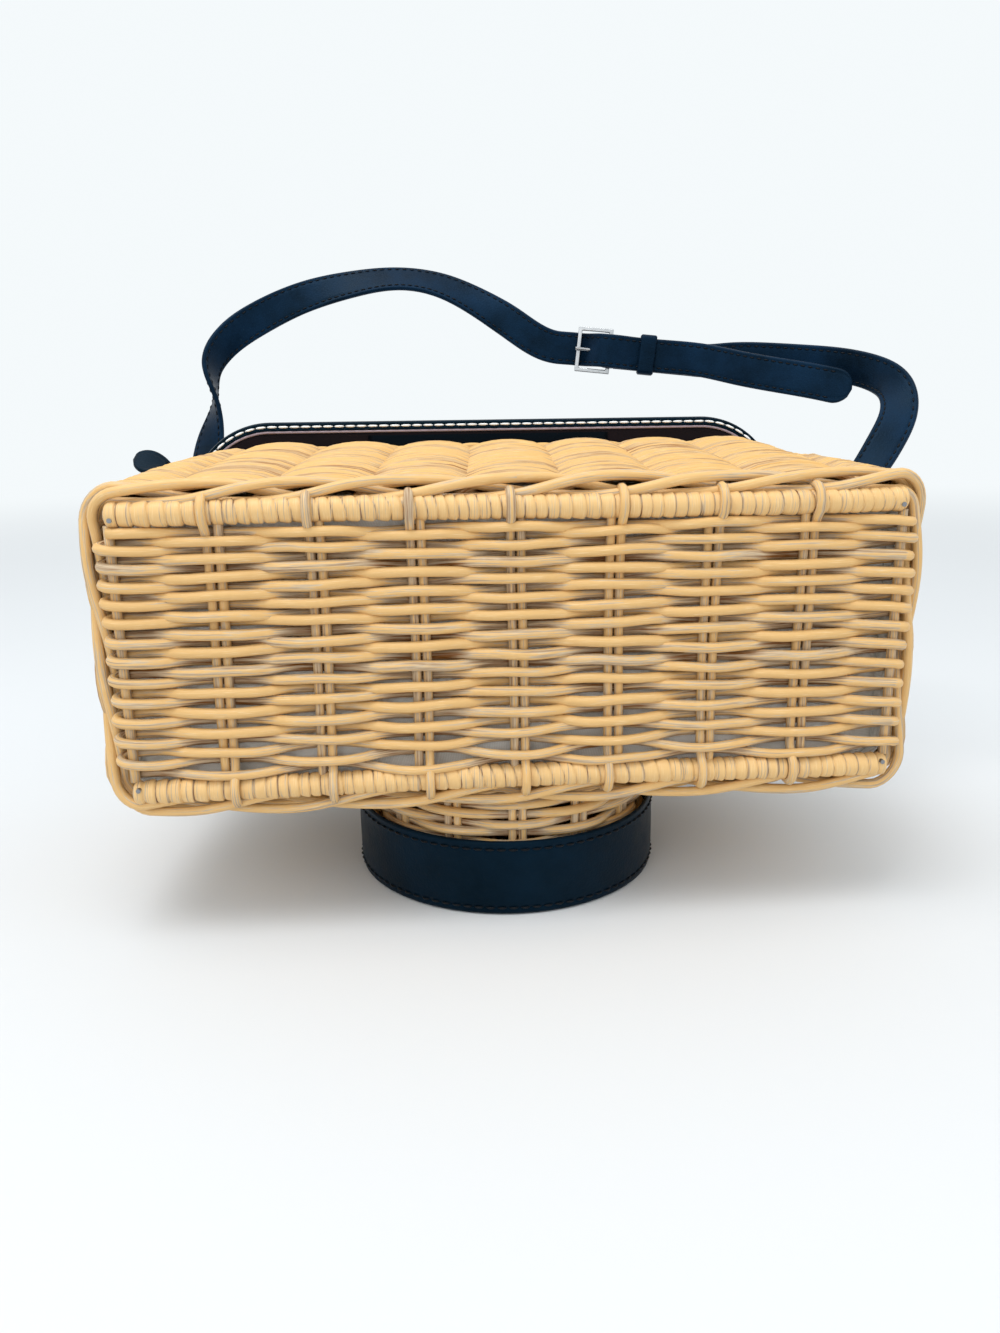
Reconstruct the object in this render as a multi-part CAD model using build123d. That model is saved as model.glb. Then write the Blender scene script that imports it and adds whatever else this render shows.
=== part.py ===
from build123d import *
import os

# A woven rattan box bag with a leather lid, a round barrel standing out of its front wall and a
# buckled leather strap. It lies on the flat end of that barrel: the front wall faces down, the back
# wall up, the base faces -Y and the lid +Y. The origin is the centre of the barrel's flat end.
# Lengths are millimetres. A "height" below is measured from the base towards the lid, along +Y.

# ---- driving dimensions -------------------------------------------------------------------------
base_width = 270.0          # base panel, side to side (X)
base_depth = 104.0          # base panel, front edge to back edge (Z)
basket_height = 140.0       # outside of the base to the top of the rim
barrel_setback = 68.0       # outside of the base to the barrel's axis
barrel_reach = 51.0         # front edge of the base to the barrel's flat end

# base panel
rod_diameter = 9.0          # long frame rods with their cane whipping
post_diameter = 7.6         # end posts
weave_thickness = 9.4       # weavers over and under the stakes
stake_diameter = 3.3
stake_pairs = 7
stake_pitch = 33.4
nail_diameter = 1.6
nail_length = 6.0
nail_inset = 6.0            # from the base's long edges
nail_proud = 0.2

# wall: half width, half depth and corner radius at rising heights
wale_top = 11.5             # top of the rope-twist ring round the base
wale_bottom = 1.2
wale_spread = 9.5           # how far the ring stands out past the base, at the sides
wale_rise = 4.5             # and at the front and back
wall_thickness = 5.5
wall_mid_height = 60.0
wall_foot_half = (144.0, 56.5)
wall_mid_half = (142.5, 60.5)
wall_top_half = (133.0, 68.0)
wall_foot_radius = 14.0
wall_mid_radius = 20.0
wall_top_radius = 30.0
rim_height = 6.0            # plaited border on top of the wall
rim_width = 7.0

# barrel and its leather band
barrel_radius = 57.0
barrel_wall = 5.0
barrel_border = 9.0         # stretch of thicker plaited border at the end, which carries the band
band_radius = 61.5          # outside of the leather band
band_thickness = 2.2
band_width = 29.4
band_gap = 0.3

# lid
lid_half_width = 137.0
lid_half_depth = 75.0
lid_radius = 38.0
lid_gap = 1.6               # rim to the underside of the lid
lid_lining_thickness = 0.8
lid_board_thickness = 3.0
lid_leather = 1.4
lid_border = 3.0            # leather turned under the edge all round
hinge_outset = 1.6          # hinge line, out past the back of the wall
lining_thickness = 1.0
hinge_strip_width = 110.0
hinge_strip_thickness = 1.1
hinge_strip_drop = 18.0     # how far it reaches down inside the wall

# magnetic catch
magnet_radius = 7.0
magnet_thickness = 2.2
catch_tab_width = 22.0
catch_tab_thickness = 1.6
catch_tab_drop = 24.0

# strap
strap_width = 17.5
strap_thickness = 2.6
pivot_height = 118.0        # pivot screws, from the base
pivot_radius = 2.2
pivot_head_radius = 4.6
pivot_head_height = 2.2
pivot_nut_radius = 5.0
pivot_nut_thickness = 2.4
tab_width = 15.0
tab_thickness = 2.0
tab_length = 61.0           # pivot to the rounded end
tab_flat_length = 34.0      # stretch that lies against the wall on the left side
tab_curl = 17.0             # how far the left tab's end stands off

# buckle
buckle_wire = 2.2
buckle_side_gap = 1.0
buckle_length = 17.0        # between the middles of its two bars
prong_diameter = 1.8
prong_start = 2.2           # heel bar's middle to the root of the straight prong
prong_eye_width = 2.4
prong_eye_wall = 1.1
keeper_thickness = 1.4
keeper_width = 9.0
keeper_place = 20.5         # from the heel bar
straight_run = 49.0         # flat stretch of the strap past the heel bar
hole_pitch = 30.0           # the prong sits in the first hole
hole_radius = 1.7

# fits
seat_gap = 0.3              # between woven or soft pieces that lie against each other
layer_gap = 0.1             # between glued or sewn flat layers
running_gap = 0.08          # radial, pivot screws in the strap's holes

# ---- places worked out from them ----------------------------------------------------------------
base_y = -barrel_setback
middle_z = base_depth / 2 + barrel_reach
rim_top = basket_height
wall_top = rim_top - rim_height
lid_under = rim_top + lid_gap
lid_board_under = lid_under + lid_lining_thickness + layer_gap
lid_panel_under = lid_board_under + lid_board_thickness + layer_gap
hinge_height = rim_top + 0.6
hinge_z = wall_top_half[1] + hinge_outset


def level(height):
    """Plane parallel to the base at a height: its x runs to +X and its y to +Z."""
    return Plane(origin=(0, base_y + height, middle_z), x_dir=(1, 0, 0), z_dir=(0, -1, 0))


def spot(x, height, up):
    """A point given from the middle of the base: right, towards the lid, and up."""
    return Vector(x, base_y + height, middle_z + up)


def slab(half_width, half_depth, radius, height, thickness):
    """Flat rounded sheet whose underside is at a height."""
    outline = level(height) * RectangleRounded(2 * half_width, 2 * half_depth, radius)
    return extrude(outline, amount=-thickness)


def wall_section(height, inset):
    """Half width, half depth and corner radius of the wall's outside, less an inset."""
    foot = wale_top
    if height <= wall_mid_height:
        share = (height - foot) / (wall_mid_height - foot)
        low, high = wall_foot_half, wall_mid_half
        low_r, high_r = wall_foot_radius, wall_mid_radius
    else:
        share = (height - wall_mid_height) / (wall_top - wall_mid_height)
        low, high = wall_mid_half, wall_top_half
        low_r, high_r = wall_mid_radius, wall_top_radius
    half_width = low[0] + share * (high[0] - low[0]) - inset
    half_depth = low[1] + share * (high[1] - low[1]) - inset
    radius = max(low_r + share * (high_r - low_r) - inset, 3.0)
    return half_width, half_depth, radius


def inside_face(height):
    """Distance from the middle to a clear face just inside the lining, at the front and back."""
    return wall_section(height, wall_thickness + seat_gap + lining_thickness)[1] - seat_gap


def wall_envelope(inset, bottom, top):
    """Solid inside the wall's outer face moved in by an inset, from one height to another."""
    sections = []
    for height in (bottom, wall_mid_height, top):
        half_width, half_depth, radius = wall_section(height, inset)
        sections.append(level(height) * RectangleRounded(2 * half_width, 2 * half_depth, radius))
    return loft(sections, ruled=True)


def rod_along_x(x0, x1, height, up, radius):
    """Round bar along X."""
    start = spot(x0, height, up)
    return extrude(Plane(origin=start, z_dir=(1, 0, 0)) * Circle(radius), amount=x1 - x0)


def post_along_z(x, height, up0, up1, radius):
    """Round bar along Z."""
    start = spot(x, height, up0)
    return extrude(Plane(origin=start, z_dir=(0, 0, 1)) * Circle(radius), amount=up1 - up0)


# ---- base panel ---------------------------------------------------------------------------------
rod_up = base_depth / 2 - rod_diameter / 2
post_x = base_width / 2 - post_diameter / 2
weave_half_depth = rod_up - rod_diameter / 2 - seat_gap
weave_half_width = post_x - post_diameter / 2 - seat_gap
stake_height = weave_thickness / 2
stake_offset = stake_diameter / 2 + 0.2


def stake_positions():
    """Middles of the stake pairs along X."""
    first = -stake_pitch * (stake_pairs - 1) / 2
    return [first + stake_pitch * index for index in range(stake_pairs)]


def stake_pair(x, radius, half_length):
    """Two straight stakes side by side, across the base."""
    left = post_along_z(x - stake_offset, stake_height, -half_length, half_length, radius)
    right = post_along_z(x + stake_offset, stake_height, -half_length, half_length, radius)
    return left, right


def base_weave():
    """The woven weavers as one slab, with a channel for each pair of stakes."""
    body = slab(weave_half_width, weave_half_depth, 1.0, 0, weave_thickness)
    channel_radius = stake_diameter / 2 + layer_gap
    for x in stake_positions():
        for stake in stake_pair(x, channel_radius, base_depth / 2):
            body -= stake
    return body


def base_rod(side):
    """Whipped long rod at the back (+1) or front (-1) edge."""
    half = base_width / 2 - post_diameter - seat_gap
    return rod_along_x(-half, half, rod_diameter / 2, side * rod_up, rod_diameter / 2)


def base_post(side):
    """End post at the right (+1) or left (-1) end of the base."""
    half = base_depth / 2 - 1.0
    post = post_along_z(side * post_x, rod_diameter / 2, -half, half, post_diameter / 2)
    for nail in nails(nail_diameter / 2 + layer_gap / 2):
        post -= nail
    return post


def nails(radius):
    """A bar at each corner of the base, where a nail holds the end post; the heads stand just proud."""
    head = rod_diameter / 2 - post_diameter / 2 - nail_proud
    bars = []
    for x in (-post_x, post_x):
        for side in (-1, 1):
            start = spot(x, head, side * (base_depth / 2 - nail_inset))
            bars.append(extrude(Plane(origin=start, z_dir=(0, 1, 0)) * Circle(radius), amount=nail_length))
    return bars


# ---- wale, wall, rim and lining -----------------------------------------------------------------
def ring_between(outer, inner, height, thickness):
    """Flat ring between two rounded outlines given as half width, half depth and radius."""
    return slab(*outer, height, thickness) - slab(*inner, height - 1, thickness + 2)


def upset_wale():
    """Rope-twist ring that holds the stakes where they turn up round the base."""
    inner = (base_width / 2 + seat_gap, base_depth / 2 + seat_gap, 2.0)
    outer = (base_width / 2 + wale_spread, base_depth / 2 + wale_rise, 10.0)
    ring = ring_between(outer, inner, wale_bottom, wale_top - wale_bottom)
    crests = ring.faces().filter_by(Axis.Y).edges().filter_by(GeomType.LINE)
    return fillet([edge for edge in crests if edge.length > 60 and abs(edge.center().X) < outer[0] + 1
                   and on_outline(edge, outer)], 2.4)


def on_outline(edge, outline):
    """Whether a straight edge lies on the outside of a rounded outline."""
    middle = edge.center()
    side = abs(abs(middle.X) - outline[0]) < 0.01
    return side or abs(abs(middle.Z - middle_z) - outline[1]) < 0.01


def pivot_bore(radius):
    """Bar along X through both side walls at the pivots."""
    reach = base_width / 2 + 40
    return rod_along_x(-reach, reach, pivot_height, 0, radius)


def basket_wall():
    """Woven wall: a flared tube open at the lid end, bored for the pivot screws."""
    bottom = wale_top + layer_gap
    body = wall_envelope(0, bottom, wall_top)
    body -= wall_envelope(wall_thickness, bottom - 0.01, wall_top + 0.01)
    return body - pivot_bore(pivot_radius + layer_gap)


def rim_border():
    """Plaited border on top of the wall."""
    outer = wall_section(wall_top, 0)
    inner = wall_section(wall_top, rim_width)
    return ring_between(outer, inner, wall_top + layer_gap, rim_height - layer_gap)


def lining():
    """Cotton bag inside the wall and over the base, open at the lid end."""
    bottom = wale_top + layer_gap
    top = wall_top - 2.0
    shell = wall_envelope(wall_thickness + seat_gap, bottom, top)
    floor = bottom + lining_thickness
    hollow = wall_envelope(wall_thickness + seat_gap + lining_thickness, floor, top + 0.01)
    return shell - hollow - pivot_bore(pivot_radius + layer_gap)


# ---- barrel -------------------------------------------------------------------------------------
def front_barrel():
    """Woven barrel: a tube with a flat woven end, lashed to the front wall."""
    height = middle_z
    drum = extrude(Plane.XY * Circle(barrel_radius), amount=height)
    border_radius = band_radius - band_thickness - band_gap
    drum += extrude(Plane.XY * Circle(border_radius), amount=barrel_border)
    bore = extrude(Plane.XY.offset(barrel_wall) * Circle(barrel_radius - barrel_wall), amount=height)
    below_wall = wall_envelope(-seat_gap, wale_top, wall_top + 0.1)
    drum = drum - bore - below_wall
    keep = Pos(0, 0, middle_z / 4) * Box(3 * barrel_radius, 3 * barrel_radius, middle_z / 2)
    foot = slab(base_width / 2 + wale_spread, base_depth / 2 + wale_rise + seat_gap, 8.0, -5, wale_top + 6)
    drum = (drum & keep) - foot
    return max(drum.solids(), key=lambda solid: solid.volume)


def barrel_band():
    """Leather band round the barrel's outer end."""
    outer = extrude(Plane.XY * Circle(band_radius), amount=band_width)
    inner = extrude(Plane.XY.offset(-1) * Circle(band_radius - band_thickness), amount=band_width + 2)
    ring = outer - inner
    return fillet(ring.edges().filter_by(GeomType.CIRCLE), 0.7)


# ---- lid ----------------------------------------------------------------------------------------
def lid_panel():
    """Outer leather of the lid, turned round the board's edge and under it as a narrow border."""
    outer = (lid_half_width, lid_half_depth, lid_radius)
    inside = tuple(size - lid_leather for size in outer)
    border = tuple(size - lid_leather - lid_border for size in outer)
    thickness = lid_panel_under + lid_leather - lid_under
    body = slab(*outer, lid_under, thickness)
    body -= slab(*inside, lid_board_under, lid_panel_under - lid_board_under)
    body -= slab(*border, lid_under - 1, lid_board_under - lid_under + 1)
    edges = body.edges().filter_by(Plane.XZ).group_by(Axis.Y)[-1]
    return fillet(edges, 0.6)


def lid_board():
    """Stiffening board inside the lid."""
    inset = lid_leather + layer_gap
    size = (lid_half_width - inset, lid_half_depth - inset, lid_radius - inset)
    return slab(*size, lid_board_under + layer_gap / 2, lid_board_thickness)


def lid_lining():
    """Dark cloth under the lid, inside the leather border."""
    inset = lid_leather + lid_border + layer_gap
    size = (lid_half_width - inset, lid_half_depth - inset, lid_radius - inset)
    return slab(*size, lid_under, lid_lining_thickness)


def hinge_strip():
    """Leather hinge: down inside the back wall, over the rim, and back to the hinge line."""
    foot = rim_top + seat_gap + hinge_strip_thickness - hinge_strip_drop
    inner_face = inside_face(foot) - hinge_strip_thickness
    top = Pos(0, base_y + rim_top + seat_gap + hinge_strip_thickness / 2, 0)
    reach = hinge_z - inner_face - 2.0
    over = top * Pos(0, 0, middle_z + inner_face + reach / 2) * Box(
        hinge_strip_width, hinge_strip_thickness, reach)
    drop_middle = rim_top + seat_gap + hinge_strip_thickness - hinge_strip_drop / 2
    down = Pos(0, base_y + drop_middle, middle_z + inner_face + hinge_strip_thickness / 2) * Box(
        hinge_strip_width, hinge_strip_drop, hinge_strip_thickness)
    return over + down


# ---- magnetic catch at the front of the rim -----------------------------------------------------
catch_up = -(inside_face(rim_top - catch_tab_drop) - catch_tab_thickness / 2)
lid_magnet_foot = lid_under - layer_gap - magnet_thickness
rim_magnet_foot = lid_magnet_foot - seat_gap - magnet_thickness


def catch_tab():
    """Leather tab sewn inside the front of the rim; it carries the lower magnet."""
    middle = rim_top - catch_tab_drop / 2
    down = Pos(0, base_y + middle, middle_z + catch_up) * Box(
        catch_tab_width, catch_tab_drop, catch_tab_thickness)
    shelf_depth = 2 * magnet_radius + 3.0
    shelf_up = catch_up + catch_tab_thickness / 2 + shelf_depth / 2
    shelf_height = rim_magnet_foot - layer_gap - catch_tab_thickness / 2
    shelf = Pos(0, base_y + shelf_height, middle_z + shelf_up) * Box(
        catch_tab_width, catch_tab_thickness, shelf_depth)
    return down + shelf


def catch_magnet(height):
    """Round magnet button whose foot is at a height."""
    up = catch_up + catch_tab_thickness / 2 + magnet_radius + 2.0
    start = spot(0, height, up)
    return extrude(Plane(origin=start, z_dir=(0, 1, 0)) * Circle(magnet_radius), amount=magnet_thickness)


# ---- side tabs and pivot screws -----------------------------------------------------------------
wall_side = wall_section(pivot_height - tab_width / 2, 0)[0]
tab_inner = wall_side + seat_gap
strap_middle = tab_inner + tab_thickness + seat_gap + strap_thickness / 2
screw_head_foot = strap_middle + strap_thickness / 2 + seat_gap
nut_face = wall_section(pivot_height + pivot_nut_radius, wall_thickness + 2 * seat_gap + lining_thickness)[0]


def ribbon(stations, width, thickness):
    """Flat strip through stations of (point, tangent, direction across)."""
    sections = []
    for point, tangent, across in stations:
        sections.append(Plane(origin=point, x_dir=across, z_dir=tangent) * Rectangle(width, thickness))
    return loft(sections, ruled=True)


def stations_of(points, across):
    """Stations of a strip from its middle points and rough directions across it."""
    stations = []
    for index, point in enumerate(points):
        before = points[max(index - 1, 0)]
        after = points[min(index + 1, len(points) - 1)]
        tangent = (after - before).normalized()
        side = Vector(*across[index])
        side = (side - tangent * side.dot(tangent)).normalized()
        stations.append((point, tangent, side))
    return stations


def side_tab(side):
    """Leather tab under a pivot screw; the left one's free end curls away from the wall."""
    curl = tab_curl if side < 0 else 0.0
    flat_x = tab_inner + tab_thickness / 2
    points = [spot(side * flat_x, pivot_height, -tab_width / 2 - 2)]
    points.append(spot(side * flat_x, pivot_height, tab_flat_length / 2))
    points.append(spot(side * flat_x, pivot_height, tab_flat_length))
    points.append(spot(side * (flat_x + 0.16 * curl), pivot_height + 1.5, tab_flat_length + 9))
    points.append(spot(side * (flat_x + 0.52 * curl), pivot_height + 3.5, tab_flat_length + 18))
    points.append(spot(side * (flat_x + curl), pivot_height + 6, tab_length))
    tab = ribbon(stations_of(points, [(0, 1, 0)] * len(points)), tab_width, tab_thickness)
    return tab - pivot_bore(pivot_radius + layer_gap)


def pivot_screw(side):
    """Post that the strap's end turns on, with its round head outside."""
    foot = nut_face - pivot_nut_thickness
    shank = rod_along_x(foot, screw_head_foot, pivot_height, 0, pivot_radius)
    head = rod_along_x(screw_head_foot, screw_head_foot + pivot_head_height, pivot_height, 0,
                       pivot_head_radius)
    rim = head.edges().filter_by(GeomType.CIRCLE).sort_by(Axis.X)[-1]
    screw = shank + fillet(rim, 1.4)
    return screw if side > 0 else mirror(screw, Plane.YZ)


def pivot_nut(side):
    """Flat cap nut on the inside end of a pivot screw."""
    nut = rod_along_x(nut_face - pivot_nut_thickness, nut_face, pivot_height, 0, pivot_nut_radius)
    nut -= rod_along_x(nut_face - 9, nut_face + 9, pivot_height, 0, pivot_radius)
    return nut if side > 0 else mirror(nut, Plane.YZ)


# ---- strap --------------------------------------------------------------------------------------
# Route points are (right, towards the lid, up) from the middle of the base; the second triple is the
# rough direction across the strap. They are chosen by hand, as a strap's lie is.
pivot_lean = Vector(0, 0.89, 0.456)          # how the long piece leaves the left pivot
short_lean = Vector(0.03, 0.26, 0.965)       # how the short piece leaves the right pivot
buckle_point = spot(65.3, 242.5, 110.6)
buckle_along = Vector(0.979, -0.171, -0.110).normalized()
buckle_front = (Vector(0, -1, 0) - buckle_along * Vector(0, -1, 0).dot(buckle_along)).normalized()
buckle_across = buckle_front.cross(buckle_along).normalized()
heel = buckle_length / 2
bar_reach = buckle_wire / 2 * 1.42           # half the diagonal of the heel bar
loop_radius = bar_reach + 0.2 + strap_thickness * 0.8
over_lap = strap_thickness + seat_gap


def at_buckle(along, front):
    """Point near the buckle: along the strap from its middle, and out in front of its plane."""
    return buckle_point + buckle_along * along + buckle_front * front


long_route = [
    (-141.0, 152, 17, (0.00, 0.42, -0.90)),
    (-143.5, 184, 30, (-0.35, 0.35, -0.85)),
    (-146.5, 214, 40, (-0.75, 0.30, -0.55)),
    (-148.0, 236, 53, (-0.97, 0.10, -0.20)),
    (-146.5, 247, 69, (-0.95, 0.30, 0.10)),
    (-143.5, 251, 88, (-0.20, 1.00, 0.00)),
    (-144.5, 254, 104, (0.35, 0.90, -0.25)),
    (-136.0, 258, 118, (0.65, 0.55, -0.55)),
    (-119.0, 262, 130, (0.60, 0.25, -0.75)),
    (-95.0, 265, 141, (0.50, 0.00, -0.87)),
    (-68.0, 266, 148, (0.30, -0.10, -0.95)),
    (-41.0, 266, 151, (0.05, -0.20, -0.98)),
    (-17.0, 264, 147, (-0.30, -0.10, -0.95)),
    (4.0, 260, 137, (-0.45, 0.00, -0.90)),
    (21.0, 255, 126, (-0.40, 0.00, -0.90)),
]
tail_route = [
    (138.0, 216, 99.5, (-0.10, 0.00, -1.00)),
    (156.0, 203, 95, (-0.15, 0.00, -1.00)),
    (173.0, 191, 91, (-0.20, 0.00, -1.00)),
    (187.0, 181, 87, (-0.25, 0.00, -1.00)),
]
short_route = [
    (137.0, 229, 104.5, (0.00, 0.00, -1.00)),
    (153.0, 222, 104, (0.00, 0.00, -1.00)),
    (170.0, 210, 102, (0.00, 0.05, -1.00)),
    (187.0, 194, 99, (0.00, 0.15, -1.00)),
    (198.0, 178, 94, (-0.25, 0.30, -0.90)),
    (202.0, 165, 87, (-0.70, 0.30, -0.60)),
    (200.0, 155, 76, (-0.90, 0.30, -0.20)),
    (192.0, 148, 63, (-0.88, 0.40, 0.10)),
    (181.0, 142, 49, (-0.75, 0.60, 0.10)),
    (168.0, 136, 36, (-0.50, 0.80, 0.05)),
    (154.0, 129, 23, (-0.20, 0.95, -0.10)),
]


def route_points(route):
    """Points and directions across, out of a route's rows."""
    points = [spot(x, height, up) for x, height, up, across in route]
    across = [row[3] for row in route]
    return points, across


def prong_path():
    """Straight line of the prong, from the heel bar to its tip on the far bar."""
    rest = buckle_wire / 2 + prong_diameter / 2 + 0.15
    overhang = 1.6
    slope = rest / (buckle_length - buckle_wire / 2)
    tip = at_buckle(-heel - overhang, slope * (buckle_length + overhang))
    root = at_buckle(heel - prong_start, slope * prong_start)
    return root, tip


def prong_rod(radius):
    """Round bar along the prong's line."""
    root, tip = prong_path()
    line = tip - root
    return extrude(Plane(origin=root, z_dir=line) * Circle(radius), amount=line.length)


def strap_long():
    """Holed strap from the left pivot over to the buckle and on past it to its tip."""
    pivot = spot(-strap_middle, pivot_height, 0)
    across_pivot = (0, pivot_lean.Z, -pivot_lean.Y)
    points = [pivot - pivot_lean * 9.0, pivot + pivot_lean * 14.0]
    across = [across_pivot, across_pivot]
    route, sides = route_points(long_route)
    points += route
    across += sides
    step = strap_thickness / 2 + buckle_wire / 2 + 0.4
    top = loop_radius + 0.6 + strap_thickness / 2
    for along, front in ((-heel - 14, -step * 0.7), (-heel - 3.2, -step), (-heel + 2.2, -step),
                         (heel - 5.6, top * 0.86), (heel, top + 0.4), (heel + 5.4, top - 0.3),
                         (heel + 12, over_lap + 0.2), (heel + straight_run, over_lap)):
        points.append(at_buckle(along, front))
        across.append(tuple(-buckle_across))
    route, sides = route_points(tail_route)
    points += route
    across += sides
    body = ribbon(stations_of(points, across), strap_width, strap_thickness)
    body -= prong_rod(prong_diameter / 2 + 0.5)
    for number in (1, 2):
        hole_at = at_buckle(number * hole_pitch, 0)
        body -= extrude(Plane(origin=hole_at, z_dir=buckle_front) * Circle(hole_radius), amount=9)
    return body - pivot_bore(pivot_radius + running_gap)


def strap_short():
    """Strap from the right pivot back to the buckle, folded round its heel bar."""
    points = []
    across = []
    for along in (heel + 1.5, heel + 8, heel + straight_run + 2):
        points.append(at_buckle(along, 0))
        across.append(tuple(-buckle_across))
    route, sides = route_points(short_route)
    points += route
    across += sides
    pivot = spot(strap_middle, pivot_height, 0)
    across_pivot = (0, short_lean.Z, -short_lean.Y)
    points += [pivot + short_lean * 12.0, pivot - Vector(0, short_lean.Y, short_lean.Z) * 9.0]
    across += [across_pivot, across_pivot]
    body = ribbon(stations_of(points, across), strap_width, strap_thickness)
    fold_start = at_buckle(heel, 0) - buckle_across * (strap_width / 2)
    fold = extrude(Plane(origin=fold_start, z_dir=buckle_across) * Circle(loop_radius), amount=strap_width)
    body = body + fold
    bar_start = at_buckle(heel, 0) - buckle_across * strap_width
    bar_hole = Circle(bar_reach + 0.2)
    body -= extrude(Plane(origin=bar_start, z_dir=buckle_across) * bar_hole, amount=2 * strap_width)
    slot = Plane(origin=at_buckle(heel - 3.5, 0), x_dir=buckle_along, z_dir=buckle_across)
    prong_slot = slot * Rectangle(14, 12)
    body -= extrude(prong_slot, amount=prong_eye_width / 2 + 0.3, both=True)
    return body - pivot_bore(pivot_radius + running_gap)


def buckle_frame():
    """Rectangular wire frame: heel bar on the right, far bar on the left."""
    inside_width = strap_width + 2 * buckle_side_gap
    plane = Plane(origin=at_buckle(0, -buckle_wire / 2), x_dir=buckle_along, z_dir=buckle_front)
    outer = Rectangle(buckle_length + buckle_wire, inside_width + 2 * buckle_wire)
    inner = Rectangle(buckle_length - buckle_wire, inside_width)
    ring = extrude(plane * (outer - inner), amount=buckle_wire)
    return fillet(ring.edges(), 0.5)


def buckle_prong():
    """Prong: a pin looped round the heel bar whose tip rests on the far bar."""
    start = at_buckle(heel, 0) - buckle_across * (prong_eye_width / 2)
    loop_plane = Plane(origin=start, z_dir=buckle_across)
    bore = bar_reach + 0.1
    eye = extrude(loop_plane * (Circle(bore + prong_eye_wall) - Circle(bore)), amount=prong_eye_width)
    return eye + prong_rod(prong_diameter / 2)


def strap_keeper():
    """Leather loop round both layers of the strap, beside the buckle."""
    middle = over_lap / 2
    inside_height = strap_thickness + over_lap + 2 * seat_gap
    inside_width = strap_width + 2 * seat_gap
    start = at_buckle(heel + keeper_place - keeper_width / 2, middle)
    plane = Plane(origin=start, x_dir=buckle_across, z_dir=buckle_along)
    outer = plane * RectangleRounded(inside_width + 2 * keeper_thickness,
                                     inside_height + 2 * keeper_thickness, 1.5)
    inner = plane * Rectangle(inside_width, inside_height)
    return extrude(outer - inner, amount=keeper_width)


# ---- write every piece --------------------------------------------------------------------------
def pieces():
    """Every node's name and its solid or group of solids."""
    rows = {"base_weave": base_weave(), "base_rod_back": base_rod(1), "base_rod_front": base_rod(-1)}
    rows["base_post_left"] = base_post(-1)
    rows["base_post_right"] = base_post(1)
    rows["base_nails"] = nails(nail_diameter / 2)
    rows["upset_wale"] = upset_wale()
    rows["basket_wall"] = basket_wall()
    rows["rim_border"] = rim_border()
    rows["lining"] = lining()
    rows["front_barrel"] = front_barrel()
    rows["barrel_band"] = barrel_band()
    rows["lid_panel"] = lid_panel()
    rows["lid_board"] = lid_board()
    rows["lid_lining"] = lid_lining()
    rows["hinge_strip"] = hinge_strip()
    rows["catch_tab"] = catch_tab()
    rows["catch_magnet_rim"] = catch_magnet(rim_magnet_foot)
    rows["catch_magnet_lid"] = catch_magnet(lid_magnet_foot)
    rows["side_tab_left"] = side_tab(-1)
    rows["side_tab_right"] = side_tab(1)
    rows["pivot_screw_left"] = pivot_screw(-1)
    rows["pivot_screw_right"] = pivot_screw(1)
    rows["pivot_nut_left"] = pivot_nut(-1)
    rows["pivot_nut_right"] = pivot_nut(1)
    rows["strap_long"] = strap_long()
    rows["strap_short"] = strap_short()
    rows["buckle_frame"] = buckle_frame()
    rows["buckle_prong"] = buckle_prong()
    rows["strap_keeper"] = strap_keeper()
    for index, x in enumerate(stake_positions()):
        half_length = weave_half_depth
        rows[f"base_stakes_{index + 1}"] = list(stake_pair(x, stake_diameter / 2, half_length))
    return rows


os.makedirs("parts", exist_ok=True)
for name, shape in pieces().items():
    if isinstance(shape, (list, tuple)):
        shape = Compound(children=list(shape))
    export_step(shape, f"parts/{name}.step")
    print(name, round(shape.volume), shape.is_valid)
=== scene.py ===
"""Woven rattan box bag: base panel, rope-twist foot, lobed wall, banded barrel, leather lid and strap.

Every surface is worked out as whole numpy arrays in the bag's own millimetres: right (x), height
from the base towards the lid, and up from the middle of the base. build() moves them into the frame.
"""
import math

import bpy
import numpy as np
from mathutils import Matrix, Vector


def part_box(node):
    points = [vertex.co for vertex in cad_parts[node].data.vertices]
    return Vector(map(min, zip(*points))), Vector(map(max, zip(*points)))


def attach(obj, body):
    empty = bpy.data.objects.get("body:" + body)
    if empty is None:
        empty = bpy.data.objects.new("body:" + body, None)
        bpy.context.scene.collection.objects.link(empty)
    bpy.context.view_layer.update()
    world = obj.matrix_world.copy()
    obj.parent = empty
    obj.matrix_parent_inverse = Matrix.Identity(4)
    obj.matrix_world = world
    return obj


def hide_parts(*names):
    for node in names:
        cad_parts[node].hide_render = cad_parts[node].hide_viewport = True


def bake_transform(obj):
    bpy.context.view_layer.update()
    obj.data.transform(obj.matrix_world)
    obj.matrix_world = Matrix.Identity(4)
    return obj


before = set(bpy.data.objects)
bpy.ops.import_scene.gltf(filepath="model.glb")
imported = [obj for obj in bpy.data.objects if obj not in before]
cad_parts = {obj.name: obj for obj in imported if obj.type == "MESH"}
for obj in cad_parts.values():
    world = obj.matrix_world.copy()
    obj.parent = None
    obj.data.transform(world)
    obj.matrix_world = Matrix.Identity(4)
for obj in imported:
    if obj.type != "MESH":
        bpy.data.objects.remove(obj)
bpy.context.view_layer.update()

bl_info = {
    "name": "Woven Box Bag",
    "version": (1, 0, 0),
    "blender": (4, 5, 0),
    "location": "3D View > Sidebar > Bag",
    "description": "Builds a woven rattan box bag with a leather lid and strap round its CAD frame",
    "category": "Object",
}

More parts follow.
